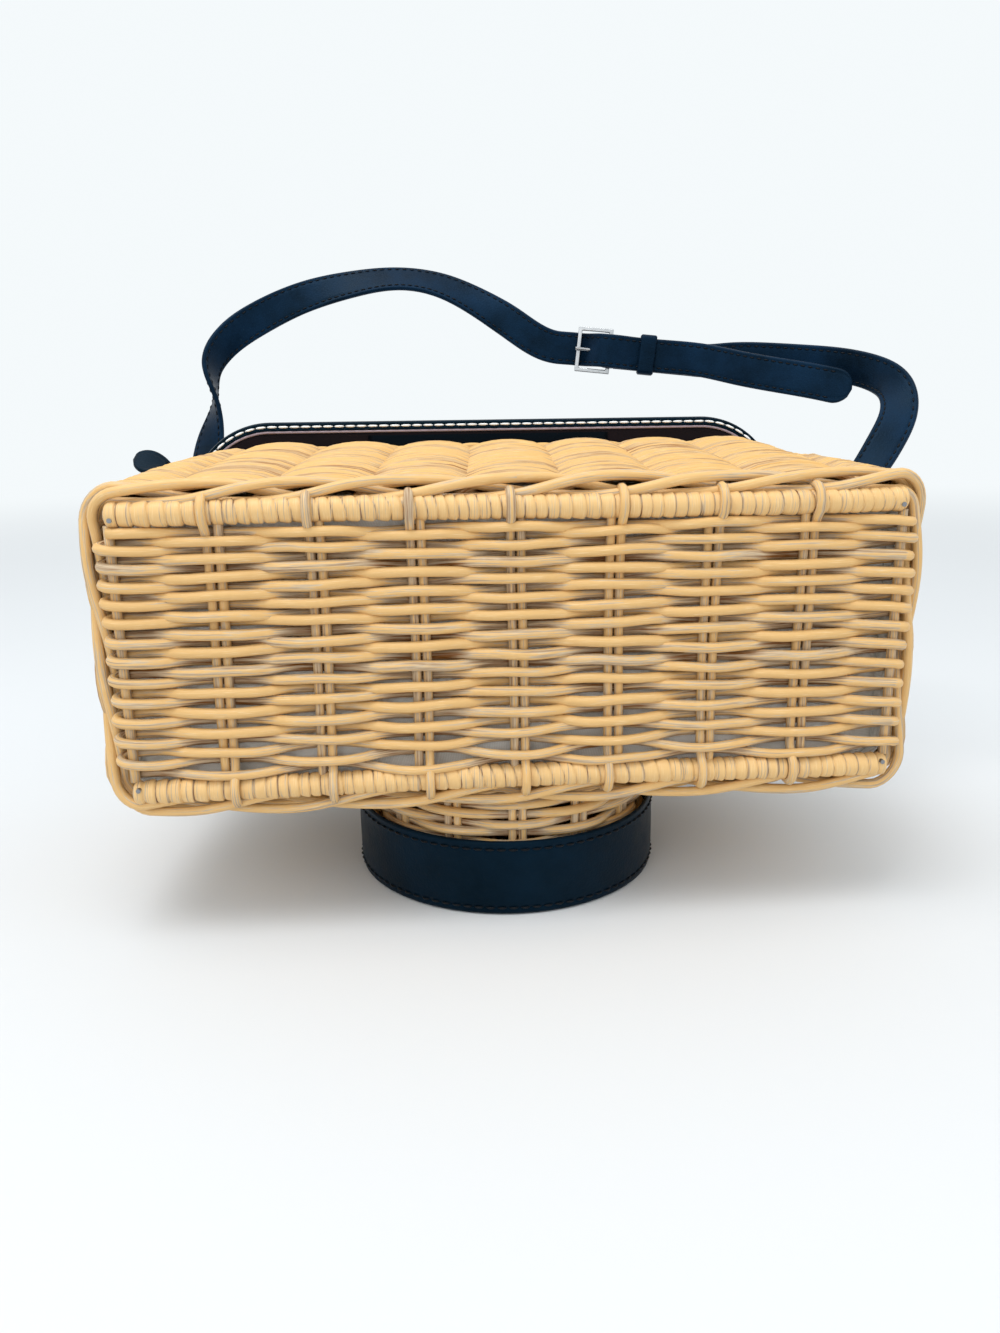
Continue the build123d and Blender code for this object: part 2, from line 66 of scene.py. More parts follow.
BASE_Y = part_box("base_weave")[0].y
MIDDLE_Z = sum(corner.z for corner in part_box("base_weave")) / 2
BASE_MIDDLE = 5.0                    # height of the middle of the base panel's thickness
STAKE_PAIRS = 7
WALL_FOOT = (144.0, 56.5, 14.0)      # half width, half depth and corner radius of the wall's outside
WALL_MIDDLE = (142.5, 60.5, 20.0)
WALL_TOP = (133.0, 67.0, 30.0)
WALL_HEIGHTS = (11.5, 60.0, 134.0)
WALL_START, WALL_END = 12.6, 133.0    # heights of the first and last row of the wall
PIVOT_HEIGHT = 118.0
FULL_TURN = 2 * math.pi
ROD_SHIFT = (37.3, 11.7)             # how far the pattern moves from one rod to the next, along and round


def linear(code):
    """An sRGB hex colour as linear red, green, blue and alpha."""
    parts = [int(code[i:i + 2], 16) / 255 for i in (1, 3, 5)]
    return tuple(c / 12.92 if c <= 0.04045 else ((c + 0.055) / 1.055) ** 2.4 for c in parts) + (1.0,)


# ---- arrays to meshes -----------------------------------------------------------------------------
def unit(vectors):
    """Vectors divided by their lengths."""
    return vectors / np.maximum(np.linalg.norm(vectors, axis=-1, keepdims=True), 1e-12)


def sheet(grid, closed_rows=False, closed_columns=False, tone_and_shade=0.5, uv=None):
    """A surface through a grid of points (rows, columns, 3).

    A face joins four neighbouring points, and faces outwards where the column direction crossed with
    the row direction does. The pattern coordinates are the lengths walked along a column and a row.
    """
    rows, columns = grid.shape[:2]
    index = np.arange(rows * columns).reshape(rows, columns)
    if closed_rows:
        index = np.concatenate([index, index[:1]], 0)
        grid = np.concatenate([grid, grid[:1]], 0)
    if closed_columns:
        index = np.concatenate([index, index[:, :1]], 1)
        grid = np.concatenate([grid, grid[:, :1]], 1)
    if uv is None:
        down = np.linalg.norm(np.diff(grid, axis=0), axis=-1).mean(1)
        over = np.linalg.norm(np.diff(grid, axis=1), axis=-1).mean(0)
        u = np.concatenate([[0], np.cumsum(down)])[:, None] + np.zeros(index.shape)
        v = np.concatenate([[0], np.cumsum(over)])[None, :] + np.zeros(index.shape)
        uv = np.stack([u, v], -1)
    corners = [(slice(None, -1), slice(None, -1)), (slice(None, -1), slice(1, None)),
               (slice(1, None), slice(1, None)), (slice(1, None), slice(None, -1))]
    quads = np.stack([index[c] for c in corners], -1).reshape(-1, 4)
    quad_uv = np.stack([uv[c] for c in corners], -2).reshape(-1, 4, 2)
    points = grid[:rows, :columns].reshape(-1, 3)
    tones_and_shade = np.broadcast_to(np.asarray(tone_and_shade, float), (rows, columns)).reshape(-1)
    return {"points": points, "quads": quads, "quad_uv": quad_uv, "tone_and_shade": tones_and_shade,
            "tris": np.zeros((0, 3), int), "tri_uv": np.zeros((0, 3, 2))}


def rods(paths, radii, reference, sides=8, closed=False, tone_and_shade=0.5, squash=1.0):
    """Rods swept along paths (rods, points, 3).

    Each ring stands square to its path: its first axis is the reference direction less its share
    along the path, the second is square to both, and squash flattens the second. The pattern
    coordinates are the length along the rod and round it, shifted from rod to rod.
    """
    paths = np.asarray(paths, float)
    count, steps = paths.shape[:2]
    if closed:
        ahead = np.roll(paths, -1, 1) - np.roll(paths, 1, 1)
    else:
        ahead = np.gradient(paths, axis=1)
    tangent = unit(ahead)
    reference = np.broadcast_to(np.asarray(reference, float), paths.shape)
    first = unit(reference - (reference * tangent).sum(-1, keepdims=True) * tangent)
    second = np.cross(tangent, first)
    turn = np.arange(sides) / sides * FULL_TURN
    radii = np.broadcast_to(np.asarray(radii, float), (count, steps))
    ring = first[:, :, None] * np.cos(turn)[:, None] + squash * second[:, :, None] * np.sin(turn)[:, None]
    rings = paths[:, :, None] + radii[:, :, None, None] * ring
    index = np.arange(count * steps * sides).reshape(count, steps, sides)
    around = np.concatenate([index, index[:, :, :1]], 2)
    step_length = np.linalg.norm(np.diff(paths, axis=1), axis=-1)
    along = np.concatenate([np.zeros((count, 1)), np.cumsum(step_length, 1)], 1)
    if closed:
        around = np.concatenate([around, around[:, :1]], 1)
        last = np.linalg.norm(paths[:, 0] - paths[:, -1], axis=-1)
        along = np.concatenate([along, along[:, -1:] + last[:, None]], 1)
    shift = np.arange(count)[:, None, None]
    u = along[:, :, None] + ROD_SHIFT[0] * shift + np.zeros(around.shape)
    v = (np.arange(sides + 1)[None, None, :] / sides * FULL_TURN * radii.mean() + ROD_SHIFT[1] * shift
         + np.zeros(around.shape))
    uv = np.stack([u, v], -1)
    every, lead, trail = slice(None), slice(None, -1), slice(1, None)
    corners = [(every, lead, lead), (every, lead, trail), (every, trail, trail), (every, trail, lead)]
    quads = np.stack([around[c] for c in corners], -1).reshape(-1, 4)
    quad_uv = np.stack([uv[c] for c in corners], -2).reshape(-1, 4, 2)
    points = rings.reshape(-1, 3)
    tone_and_shade = np.asarray(tone_and_shade, float)
    if tone_and_shade.ndim == 1:
        tone_and_shade = tone_and_shade[:, None]
    tone_and_shade = np.broadcast_to(tone_and_shade, (count, steps))
    tones_and_shade = np.repeat(tone_and_shade[:, :, None], sides, 2).reshape(-1)
    tris, tri_uv = np.zeros((0, 3), int), np.zeros((0, 3, 2))
    if not closed:
        first_cap = len(points) + np.arange(count)
        last_cap = first_cap + count
        points = np.concatenate([points, paths[:, 0], paths[:, -1]])
        tones_and_shade = np.concatenate([tones_and_shade, tone_and_shade[:, 0], tone_and_shade[:, -1]])
        start = np.stack([np.repeat(first_cap, sides), around[:, 0, 1:].ravel(), around[:, 0, :-1].ravel()],
                         -1)
        end = np.stack([np.repeat(last_cap, sides), around[:, -1, :-1].ravel(), around[:, -1, 1:].ravel()],
                       -1)
        tris = np.concatenate([start, end])
        tri_uv = np.tile(np.array([[0.0, 0.0], [0.4, 0.0], [0.0, 0.4]]), (len(tris), 1, 1))
    return {"points": points, "quads": quads, "quad_uv": quad_uv, "tone_and_shade": tones_and_shade, "tris": tris,
            "tri_uv": tri_uv}


def join(*shapes):
    """Several shapes as one, with their corner numbers shifted."""
    starts = np.cumsum([0] + [len(s["points"]) for s in shapes[:-1]])
    joined = {key: np.concatenate([s[key] for s in shapes]) for key in ("points", "quad_uv", "tone_and_shade",
                                                                        "tri_uv")}
    for key in ("quads", "tris"):
        joined[key] = np.concatenate([s[key] + start for s, start in zip(shapes, starts)])
    return joined


def build(name, shape, material, body="", replaces=()):
    """Makes an object from a shape in the bag's millimetres, and says what it rides on and stands for."""
    points = shape["points"] * 0.001 + np.array([0.0, BASE_Y, MIDDLE_Z])
    corners = np.concatenate([shape["quads"].ravel(), shape["tris"].ravel()]).astype(np.int32)
    uv = np.concatenate([shape["quad_uv"].reshape(-1, 2), shape["tri_uv"].reshape(-1, 2)]).astype(np.float32)
    sizes = np.concatenate([np.full(len(shape["quads"]), 4), np.full(len(shape["tris"]), 3)])
    mesh = bpy.data.meshes.new(name)
    mesh.vertices.add(len(points))
    mesh.vertices.foreach_set("co", points.astype(np.float32).ravel())
    mesh.loops.add(len(corners))
    mesh.loops.foreach_set("vertex_index", corners)
    mesh.polygons.add(len(sizes))
    mesh.polygons.foreach_set("loop_start", np.concatenate([[0], np.cumsum(sizes)[:-1]]).astype(np.int32))
    mesh.uv_layers.new(name="pattern").data.foreach_set("uv", uv.ravel())
    # this attribute carries each piece's own random tone and, on the rattan, painted shade where rods pass
    # behind or dive under others
    tone_and_shade = mesh.attributes.new("tone_and_shade", "FLOAT", "POINT")
    tone_and_shade.data.foreach_set("value", shape["tone_and_shade"].astype(np.float32))
    mesh.polygons.foreach_set("use_smooth", np.ones(len(sizes), bool))
    mesh.update(calc_edges=True)
    mesh.validate()
    mesh.materials.append(material)
    piece = bpy.data.objects.new(name, mesh)
    bpy.context.scene.collection.objects.link(piece)
    if body:
        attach(piece, body)
    if replaces:
        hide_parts(*replaces)
    return piece


# ---- shapes shared by several pieces ----------------------------------------------------------------
def outline(share, half_width, half_depth, corner):
    """Points and outward directions on a rounded rectangle, at shares 0 to 1 of the way round.

    The walk starts in the middle of the upper side and goes right, then down: half the upper side,
    a quarter circle, the right side, and so on. Returns right, up, and the outward right and up.
    """
    share, half_width, half_depth, corner = np.broadcast_arrays(
        np.asarray(share, float) % 1.0, half_width, half_depth, corner)
    flat_x, flat_z = half_width - corner, half_depth - corner
    bend = corner * math.pi / 2
    quarter = flat_x + bend + flat_z
    walked = share * 4 * quarter
    part = np.minimum((walked // quarter).astype(int), 3)
    rest = walked - part * quarter
    turned = part % 2 == 1                       # odd quarters start in the middle of a side
    rest = np.where(turned, quarter - rest, rest)
    angle = np.clip((rest - flat_x) / np.maximum(bend, 1e-9), 0, 1) * math.pi / 2
    x = np.where(rest < flat_x, rest, flat_x + corner * np.sin(angle))
    z = np.where(rest < flat_x + bend, flat_z + corner * np.cos(angle), flat_z - (rest - flat_x - bend))
    right, up = np.sin(angle), np.cos(angle)
    sign_x = np.where(part < 2, 1.0, -1.0)
    sign_z = np.where((part == 0) | (part == 3), 1.0, -1.0)
    return x * sign_x, z * sign_z, right * sign_x, up * sign_z


def wall_size(height):
    """Half width, half depth and corner radius of the wall's outside at a height, in straight runs."""
    return [np.interp(height, WALL_HEIGHTS, column) for column in zip(WALL_FOOT, WALL_MIDDLE, WALL_TOP)]


def curve_through(points, count):
    """Natural cubic curve through rows of numbers, read at even steps.

    The first three numbers of a row are a place, and the distances between places are the knots. The
    second derivatives come from one linear system.
    """
    points = np.asarray(points, float)
    gaps = np.linalg.norm(np.diff(points[:, :3], axis=0), axis=1)
    knots = np.concatenate([[0], np.cumsum(gaps)])
    size = len(points)
    system, known = np.eye(size), np.zeros_like(points)
    inner = np.arange(1, size - 1)
    system[inner, inner - 1] = gaps[:-1]
    system[inner, inner] = 2 * (gaps[:-1] + gaps[1:])
    system[inner, inner + 1] = gaps[1:]
    slopes = np.diff(points, axis=0) / gaps[:, None]
    known[1:-1] = 6 * np.diff(slopes, axis=0)
    bend = np.linalg.solve(system, known)
    at = np.linspace(0, knots[-1], count)
    k = np.clip(np.searchsorted(knots, at, "right") - 1, 0, size - 2)
    gap, after, before = gaps[k, None], (at - knots[k])[:, None], (knots[k + 1] - at)[:, None]
    return ((bend[k] * before ** 3 + bend[k + 1] * after ** 3) / (6 * gap)
            + (points[k] / gap - bend[k] * gap / 6) * before
            + (points[k + 1] / gap - bend[k + 1] * gap / 6) * after)


def strip_frames(rows, count):
    """Middle line, direction along, direction across and face direction of a strip through rows of
    (right, height, up, and a rough direction across)."""
    line = curve_through(rows, count)
    middle = line[:, :3]
    along = unit(np.gradient(middle, axis=0))
    across = unit(line[:, 3:] - (line[:, 3:] * along).sum(-1, keepdims=True) * along)
    return middle, along, across, np.cross(along, across)


def strip(frames, width, thickness, tip=0.0, groove=0.0, soft=0.9):
    """Leather strip with rounded edges round its frames.

    The section is a flat band whose thickness falls to nothing over the last stretch at each edge as
    a quarter circle does, less a shallow groove for each line of stitches. Tip is the length over
    which the end narrows to a half circle.
    """
    middle, along, across, face = frames
    walked = np.concatenate([[0], np.cumsum(np.linalg.norm(np.diff(middle, axis=0), axis=1))])
    left = walked[-1] - walked
    narrow = np.ones(len(left))
    if tip:
        narrow = np.sqrt(np.clip(1 - np.clip(1 - left / tip, 0, 1) ** 2, 4e-4, 1))
    half = width / 2
    place = half * np.sin(np.linspace(-1, 1, 23) * math.pi / 2) * 0.55 + half * np.linspace(-1, 1, 23) * 0.45
    edge = np.clip((np.abs(place) - (half - soft)) / soft, 0, 1)
    rise = thickness / 2 * np.sqrt(np.clip(1 - edge ** 2, 0, 1))
    if groove:
        rise = rise - groove * np.exp(-((np.abs(place) - (half - 2.3)) / 0.5) ** 2)
    x = np.concatenate([place[::-1], place[1:-1]])
    y = np.concatenate([rise[::-1], -rise[1:-1]])
    grid = (middle[:, None] + across[:, None] * (x[None, :] * narrow[:, None])[..., None]
            + face[:, None] * (y[None, :] * np.minimum(1, narrow * 1.6)[:, None])[..., None])
    body = sheet(grid, closed_columns=True)
    rim = len(x)
    ends = []
    for row, order in ((0, 1), (len(middle) - 1, -1)):
        hub = np.concatenate([grid[row], grid[row].mean(0, keepdims=True)])
        index = np.arange(rim)
        fan = np.stack([np.full(rim, rim), np.roll(index, -1), index], -1)[:, ::order]
        ends.append({"points": hub, "quads": np.zeros((0, 4), int), "quad_uv": np.zeros((0, 4, 2)),
                     "tone_and_shade": np.full(rim + 1, 0.5), "tris": fan, "tri_uv": np.zeros((rim, 3, 2))})
    return join(body, *ends)


def stitches(places, along, face, length, radius, tone_and_shade=0.5):
    """Short threads that rise out of the leather and dive back in: each is a rod whose middle stands
    a thread's radius above its two ends, along a parabola."""
    t = np.linspace(-1, 1, 5)
    path = (places[:, None] + along[:, None] * (t * length / 2)[None, :, None]
            + face[:, None] * (radius * (1.1 - 1.5 * t ** 2))[None, :, None])
    thick = radius * np.array([0.55, 0.95, 1.0, 0.95, 0.55])
    return rods(path, np.broadcast_to(thick, path.shape[:2]), face[:, None], sides=5, tone_and_shade=tone_and_shade)


def strip_stitches(frames, width, thickness, pitch, first, last, inset=2.3, radius=0.36):
    """Two lines of stitches on both faces of a strip, from a length to a length before its end."""
    middle, along, across, face = frames
    walked = np.concatenate([[0], np.cumsum(np.linalg.norm(np.diff(middle, axis=0), axis=1))])
    at = np.arange(first, walked[-1] - last, pitch)

    def read(rows):
        """A row of three numbers for every stitch."""
        return np.stack([np.interp(at, walked, rows[:, i]) for i in range(3)], -1)

    m, a, c, f = read(middle), unit(read(along)), unit(read(across)), unit(read(face))
    lines = []
    for side in (-1, 1):
        for front in (-1, 1):
            place = m + c * side * (width / 2 - inset) + f * front * (thickness / 2 - 0.28)
            lines.append(stitches(place, a, f * front, pitch * 0.72, radius))
    return join(*lines)


def twisted_ring(size, height, strands, turns, spread, rise, radius, steps, seed, sides=8):
    """Rope twist round a rounded rectangle: each strand circles the ring's middle line as it goes
    round, out by a cosine and towards the lid by a sine, a share of a turn behind the one before."""
    rng = np.random.default_rng(seed)
    share = np.arange(steps) / steps
    number = np.arange(strands)[:, None]
    phase = FULL_TURN * (turns * share[None, :] - number / strands)
    wobble = sum(0.22 * np.sin(FULL_TURN * (k * share[None, :] + rng.random((strands, 1))))
                 for k in (2, 5, 9, 14))
    x, z, right, up = outline(share, *size)
    swell = np.cos(phase)
    out = spread * (swell * (1.2 - 0.2 * swell ** 2)) + wobble
    path = np.stack([x + right * out, height + rise * np.sin(phase) + 0.6 * wobble, z + up * out], -1)
    thick = radius * (1 + 0.05 * np.sin(FULL_TURN * (3 * share[None, :] + rng.random((strands, 1)))))
    return rods(path, thick, (0, 1, 0), sides=sides, closed=True, tone_and_shade=rng.uniform(0.3, 0.75, strands))


# ---- materials ----------------------------------------------------------------------------------------
def add(tree, kind, inputs=None, stops=(), **settings):
    """Adds a shader node: settings are its properties, stops a ramp's places and colours, and inputs
    are values for its sockets or the sockets that feed them."""
    node = tree.nodes.new("ShaderNode" + kind)
    for key, value in settings.items():
        setattr(node, key, value)
    for number, (place, colour) in enumerate(stops):
        if number > 1:
            node.color_ramp.elements.new(place)
        node.color_ramp.elements[number].position = place
        node.color_ramp.elements[number].color = colour
    for key, value in (inputs or {}).items():
        if isinstance(value, bpy.types.NodeSocket):
            tree.links.new(value, node.inputs[key])
        else:
            node.inputs[key].default_value = value
    return node


def new_material(name):
    """An empty node material with its output, and its tree."""
    material = bpy.data.materials.new(name)
    material.use_nodes = True
    material.node_tree.nodes.clear()
    return material, material.node_tree


def finish_material(tree, shader):
    """Joins a shader to the material's output."""
    add(tree, "OutputMaterial", {"Surface": shader.outputs["BSDF"]})


def rattan(name, dark, middle, light, streak_width, roughness, speck=0.5, grain=0.46):
    """Peeled rattan core, split and woven: long fibres run along each rod as fine ridges, every rod is
    its own shade of honey and is darker where its tone attribute carries painted shade, loose fibre
    hairs are drawn pale as painted highlight, and small brown marks sit where leaves grew. The pith is
    dull, the ridges catch light."""
    material, tree = new_material(name)
    uv = add(tree, "UVMap", uv_map="pattern")
    object_place = add(tree, "TexCoord")
    tone_and_shade = add(tree, "Attribute", attribute_name="tone_and_shade")
    stretched = add(tree, "Mapping", {"Vector": uv.outputs["UV"], "Scale": (0.035, 1 / streak_width, 1.0)})
    fibres = add(tree, "TexNoise", {"Vector": stretched.outputs[0], "Scale": 1.0, "Detail": 3.0,
                                    "Roughness": 0.6})
    hairs = add(tree, "Mapping", {"Vector": uv.outputs["UV"], "Scale": (0.12, 3.2 / streak_width, 1.0)})
    hair = add(tree, "TexNoise", {"Vector": hairs.outputs[0], "Scale": 1.0, "Detail": 2.0})
    blotch = add(tree, "TexNoise", {"Vector": object_place.outputs["Object"], "Scale": 45.0, "Detail": 2.0})
    spread = add(tree, "MapRange", {0: fibres.outputs["Fac"], 1: 0.33, 2: 0.67, 3: 0.0, 4: 1.0})
    mix_one = add(tree, "Math", {0: spread.outputs[0], 1: grain}, operation="MULTIPLY")
    mix_two = add(tree, "Math", {0: tone_and_shade.outputs["Fac"], 1: 0.44, 2: mix_one.outputs[0]},
                  operation="MULTIPLY_ADD")
    shade = add(tree, "Math", {0: blotch.outputs["Fac"], 1: 0.22, 2: mix_two.outputs[0]},
                operation="MULTIPLY_ADD")
    # the stops go in out of order, so the ramp steps from a dark-to-pale blend to the middle shade at 0.50,
    # and stays at the middle shade above it
    colour = add(tree, "ValToRGB", {0: shade.outputs[0]},
                 stops=((0.16, linear(dark)), (0.88, linear(light)), (0.50, linear(middle))))
    mark_place = add(tree, "Mapping", {"Vector": uv.outputs["UV"], "Scale": (0.35, 1.1, 1.0)})
    marks = add(tree, "TexNoise", {"Vector": mark_place.outputs[0], "Scale": 1.0, "Detail": 4.0,
                                   "Roughness": 0.7})
    mark = add(tree, "ValToRGB", {0: marks.outputs["Fac"]},
               stops=((0.70, (0, 0, 0, 1)), (0.76, (speck, speck, speck, 1))))
    # loose fibre hairs along each rod, drawn pale as painted highlight where they catch light
    fuzz = add(tree, "MapRange", {0: hair.outputs["Fac"], 1: 0.56, 2: 0.72, 3: 0.0, 4: 0.4})
    painted_hair_highlights = add(tree, "Mix", {0: fuzz.outputs[0], 6: colour.outputs[0], 7: linear("#FAE6BC")},
                 data_type="RGBA")
    speckled = add(tree, "Mix", {0: mark.outputs[0], 6: painted_hair_highlights.outputs[2], 7: linear("#7A5426")},
                   data_type="RGBA")
    ridge = add(tree, "Math", {0: hair.outputs["Fac"], 1: 0.6, 2: fibres.outputs["Fac"]},
                operation="MULTIPLY_ADD")
    bump = add(tree, "Bump", {"Height": ridge.outputs[0], "Strength": 0.5, "Distance": 0.00016})
    rough = add(tree, "MapRange", {0: hair.outputs["Fac"], 1: 0.3, 2: 0.7, 3: roughness - 0.08,
                                   4: roughness + 0.14})
    shader = add(tree, "BsdfPrincipled", {"Base Color": speckled.outputs[2], "Roughness": rough.outputs[0],
                                          "Normal": bump.outputs[0], "IOR": 1.5, "Specular IOR Level": 0.3})
    finish_material(tree, shader)
    return material


def leather(name, deep, worn, roughness=0.42):
    """Pigmented navy leather: a tight pebble grain about 0.8 mm across, soft creases, and a dull waxed
    sheen that is a little paler and rougher where it has been handled."""
    material, tree = new_material(name)
    place = add(tree, "TexCoord")
    patch = add(tree, "TexNoise", {"Vector": place.outputs["Object"], "Scale": 38.0, "Detail": 5.0,
                                   "Roughness": 0.62})
    colour = add(tree, "ValToRGB", {0: patch.outputs["Fac"]},
                 stops=((0.32, linear(deep)), (0.78, linear(worn))))
    grain = add(tree, "TexVoronoi", {"Vector": place.outputs["Object"], "Scale": 1250.0}, feature="SMOOTH_F1")
    crease = add(tree, "TexNoise", {"Vector": place.outputs["Object"], "Scale": 190.0, "Detail": 6.0,
                                    "Roughness": 0.7})
    height = add(tree, "Math", {0: crease.outputs["Fac"], 1: 1.6, 2: grain.outputs["Distance"]},
                 operation="MULTIPLY_ADD")
    bump = add(tree, "Bump", {"Height": height.outputs[0], "Strength": 0.32, "Distance": 0.00022})
    rough = add(tree, "MapRange", {0: patch.outputs["Fac"], 1: 0.3, 2: 0.75, 3: roughness - 0.07,
                                   4: roughness + 0.13})
    shader = add(tree, "BsdfPrincipled", {"Base Color": colour.outputs[0], "Roughness": rough.outputs[0],
                                          "Normal": bump.outputs[0], "IOR": 1.5, "Specular IOR Level": 0.16,
                                          "Specular Tint": linear("#7FB4E0")})
    finish_material(tree, shader)
    return material


def thread(name, code):
    """Twisted polyester thread: a satin cord whose plies show as slanting ridges 0.5 mm apart."""
    material, tree = new_material(name)
    uv = add(tree, "UVMap", uv_map="pattern")
    slant = add(tree, "Mapping", {"Vector": uv.outputs["UV"], "Rotation": (0, 0, 0.7)})
    ply = add(tree, "TexWave", {"Vector": slant.outputs[0], "Scale": 0.6, "Distortion": 0.4})
    colour = add(tree, "ValToRGB", {0: ply.outputs["Fac"]},
                 stops=((0.0, tuple(0.74 * c for c in linear(code)[:3]) + (1.0,)), (0.6, linear(code))))
    bump = add(tree, "Bump", {"Height": ply.outputs["Fac"], "Strength": 0.4, "Distance": 0.0001})
    shader = add(tree, "BsdfPrincipled", {"Base Color": colour.outputs[0], "Roughness": 0.5,
                                          "Normal": bump.outputs[0],
                                          "Specular IOR Level": 0.2})
    finish_material(tree, shader)
    return material


def cloth(name, code, shade, thread_pitch, fuzz=0.2):
    """Plain-woven cotton: threads cross over and under, which gives a matt, slightly fuzzy face. The
    real threads are 0.4 mm apart, drawn at the given pitch in millimetres so that they show."""
    material, tree = new_material(name)
    uv = add(tree, "UVMap", uv_map="pattern")
    place = add(tree, "TexCoord")
    warp = add(tree, "TexWave", {"Vector": uv.outputs["UV"], "Scale": 0.314 / thread_pitch},
               bands_direction="X")
    weft = add(tree, "TexWave", {"Vector": uv.outputs["UV"], "Scale": 0.314 / thread_pitch},
               bands_direction="Y")
    weave = add(tree, "Math", {0: warp.outputs["Fac"], 1: weft.outputs["Fac"]}, operation="MULTIPLY")
    slub = add(tree, "TexNoise", {"Vector": place.outputs["Object"], "Scale": 60.0, "Detail": 4.0})
    mix = add(tree, "Math", {0: weave.outputs[0], 1: 0.5, 2: slub.outputs["Fac"]}, operation="MULTIPLY_ADD")
    colour = add(tree, "ValToRGB", {0: mix.outputs[0]}, stops=((0.35, linear(shade)), (0.9, linear(code))))
    bump = add(tree, "Bump", {"Height": weave.outputs[0], "Strength": 0.3, "Distance": 0.0002})
    shader = add(tree, "BsdfPrincipled", {"Base Color": colour.outputs[0], "Roughness": 0.88,
                                          "Normal": bump.outputs[0],
                                          "Sheen Weight": fuzz, "Specular IOR Level": 0.2})
    finish_material(tree, shader)
    return material


def plated(name, code, roughness):
    """Polished metal plate: mirror-like with faint hairline rubbing that breaks its reflections up."""
    material, tree = new_material(name)
    place = add(tree, "TexCoord")
    rub = add(tree, "TexNoise", {"Vector": place.outputs["Object"], "Scale": 900.0, "Detail": 3.0})
    cloud = add(tree, "TexNoise", {"Vector": place.outputs["Object"], "Scale": 140.0, "Detail": 3.0})
    rough = add(tree, "MapRange", {0: rub.outputs["Fac"], 1: 0.3, 2: 0.7, 3: roughness * 0.7,
                                   4: roughness * 1.5})
    colour = add(tree, "ValToRGB", {0: cloud.outputs["Fac"]},
                 stops=((0.3, tuple(0.8 * c for c in linear(code)[:3]) + (1.0,)), (0.6, linear(code))))
    shader = add(tree, "BsdfPrincipled", {"Base Color": colour.outputs[0], "Roughness": rough.outputs[0],
                                          "Metallic": 1.0})
    finish_material(tree, shader)
    return material


# a finish's name, the function that makes it, and the rest of that function's values
RECIPES = {
    "peeled_rattan_core": (rattan, "#7C4B15", "#D9AF72", "#FFF1D0", 0.85, 0.42),
    "peeled_rattan_wall": (rattan, "#965E1C", "#DBB06E", "#FAE4B6", 0.8, 0.48),
    "split_rattan_cane": (rattan, "#7A4A16", "#DDB57A", "#FFEFCC", 0.7, 0.4, 0.35, 0.74),
    "pigmented_navy_leather": (leather, "#020C14", "#071A28"),
    # the strap's copy of the navy leather, painted paler as painted light because the strap is more brightly
    # lit than the band
    "navy_leather_painted_lit": (leather, "#05101B", "#0F273F"),
    "inner_hinge_leather": (leather, "#030406", "#08090D"),
    "hole_edge_and_shade_leather": (leather, "#020509", "#060D16", 0.6),
    "navy_polyester_thread": (thread, "#030911"),
    "white_polyester_thread": (thread, "#FCFDFC"),
    "lilac_piping_cord": (thread, "#9C8B92"),
    "plain_woven_cotton": (cloth, "#FBFAF6", "#E9E6DE", 0.7),
    "black_woven_lining": (cloth, "#170C12", "#090508", 0.6, 0.01),
    "pressed_fibreboard": (cloth, "#8A8478", "#6C675D", 2.0),
    "polished_nickel_plate": (plated, "#C4C6C8", 0.14),
    "drawn_steel": (plated, "#8E8F92", 0.34),
}
finished = {}


def made(name):
    """A finish by name, made the first time it is asked for."""
    if name not in finished:
        maker, *looks = RECIPES[name]
        finished[name] = maker(name, *looks)
    return finished[name]


# ---- sizes and colours a user would change --------------------------------------------------------------
class BagSizes(bpy.types.PropertyGroup):
    weaver_rows: bpy.props.IntProperty(name="Base rows", description="Rows of weavers in the base",
                                       default=26)
    weaver_radius: bpy.props.FloatProperty(
        name="Weaver radius", description="Half the thickness of a base weaver", default=0.00182,
        unit="LENGTH")
    stake_pitch: bpy.props.FloatProperty(
        name="Stake pitch", description="Distance between stake pairs", default=0.0334, unit="LENGTH")
    whip_width: bpy.props.FloatProperty(
        name="Cane width", description="Width of the cane wound round the frame rods", default=0.0042,
        unit="LENGTH")
    wall_rows: bpy.props.IntProperty(name="Wall rows", description="Rows of fine weavers in the wall",
                                     default=49)
    lobes: bpy.props.IntProperty(name="Wall lobes", description="Swellings round the wall, one a stake",
                                 default=23)
    lobe_swell: bpy.props.FloatProperty(
        name="Lobe swell", description="How far a lobe stands out past the hollow beside it", default=0.0066,
        unit="LENGTH")
    stitch_pitch: bpy.props.FloatProperty(
        name="Lid stitch", description="Length of one white stitch on the lid", default=0.0051, unit="LENGTH")
    strap_width: bpy.props.FloatProperty(
        name="Strap width", description="Width of the leather strap", default=0.0175, unit="LENGTH")


class BagFinishes(bpy.types.PropertyGroup):
    floor_colour: bpy.props.FloatVectorProperty(
        name="Floor", description="Colour of the studio floor", subtype="COLOR", size=4,
        default=linear("#D6D8DA"))
    key_power: bpy.props.FloatProperty(
        name="Key light", description="Power of the large overhead light", default=12.5, unit="POWER")
    sky_strength: bpy.props.FloatProperty(
        name="Fill", description="Strength of the white surroundings", default=0.97)


# ---- base panel -----------------------------------------------------------------------------------------
def weave_rows(rows):
    """Height above the middle of the base of every row of weavers: they lie closer towards the top."""
    gaps = 1 + 0.13 * (1 - 2 * np.arange(rows - 1) / (rows - 2))
    walked = np.concatenate([[0], np.cumsum(gaps)])
    return -41.4 + 82.6 * walked / walked[-1]


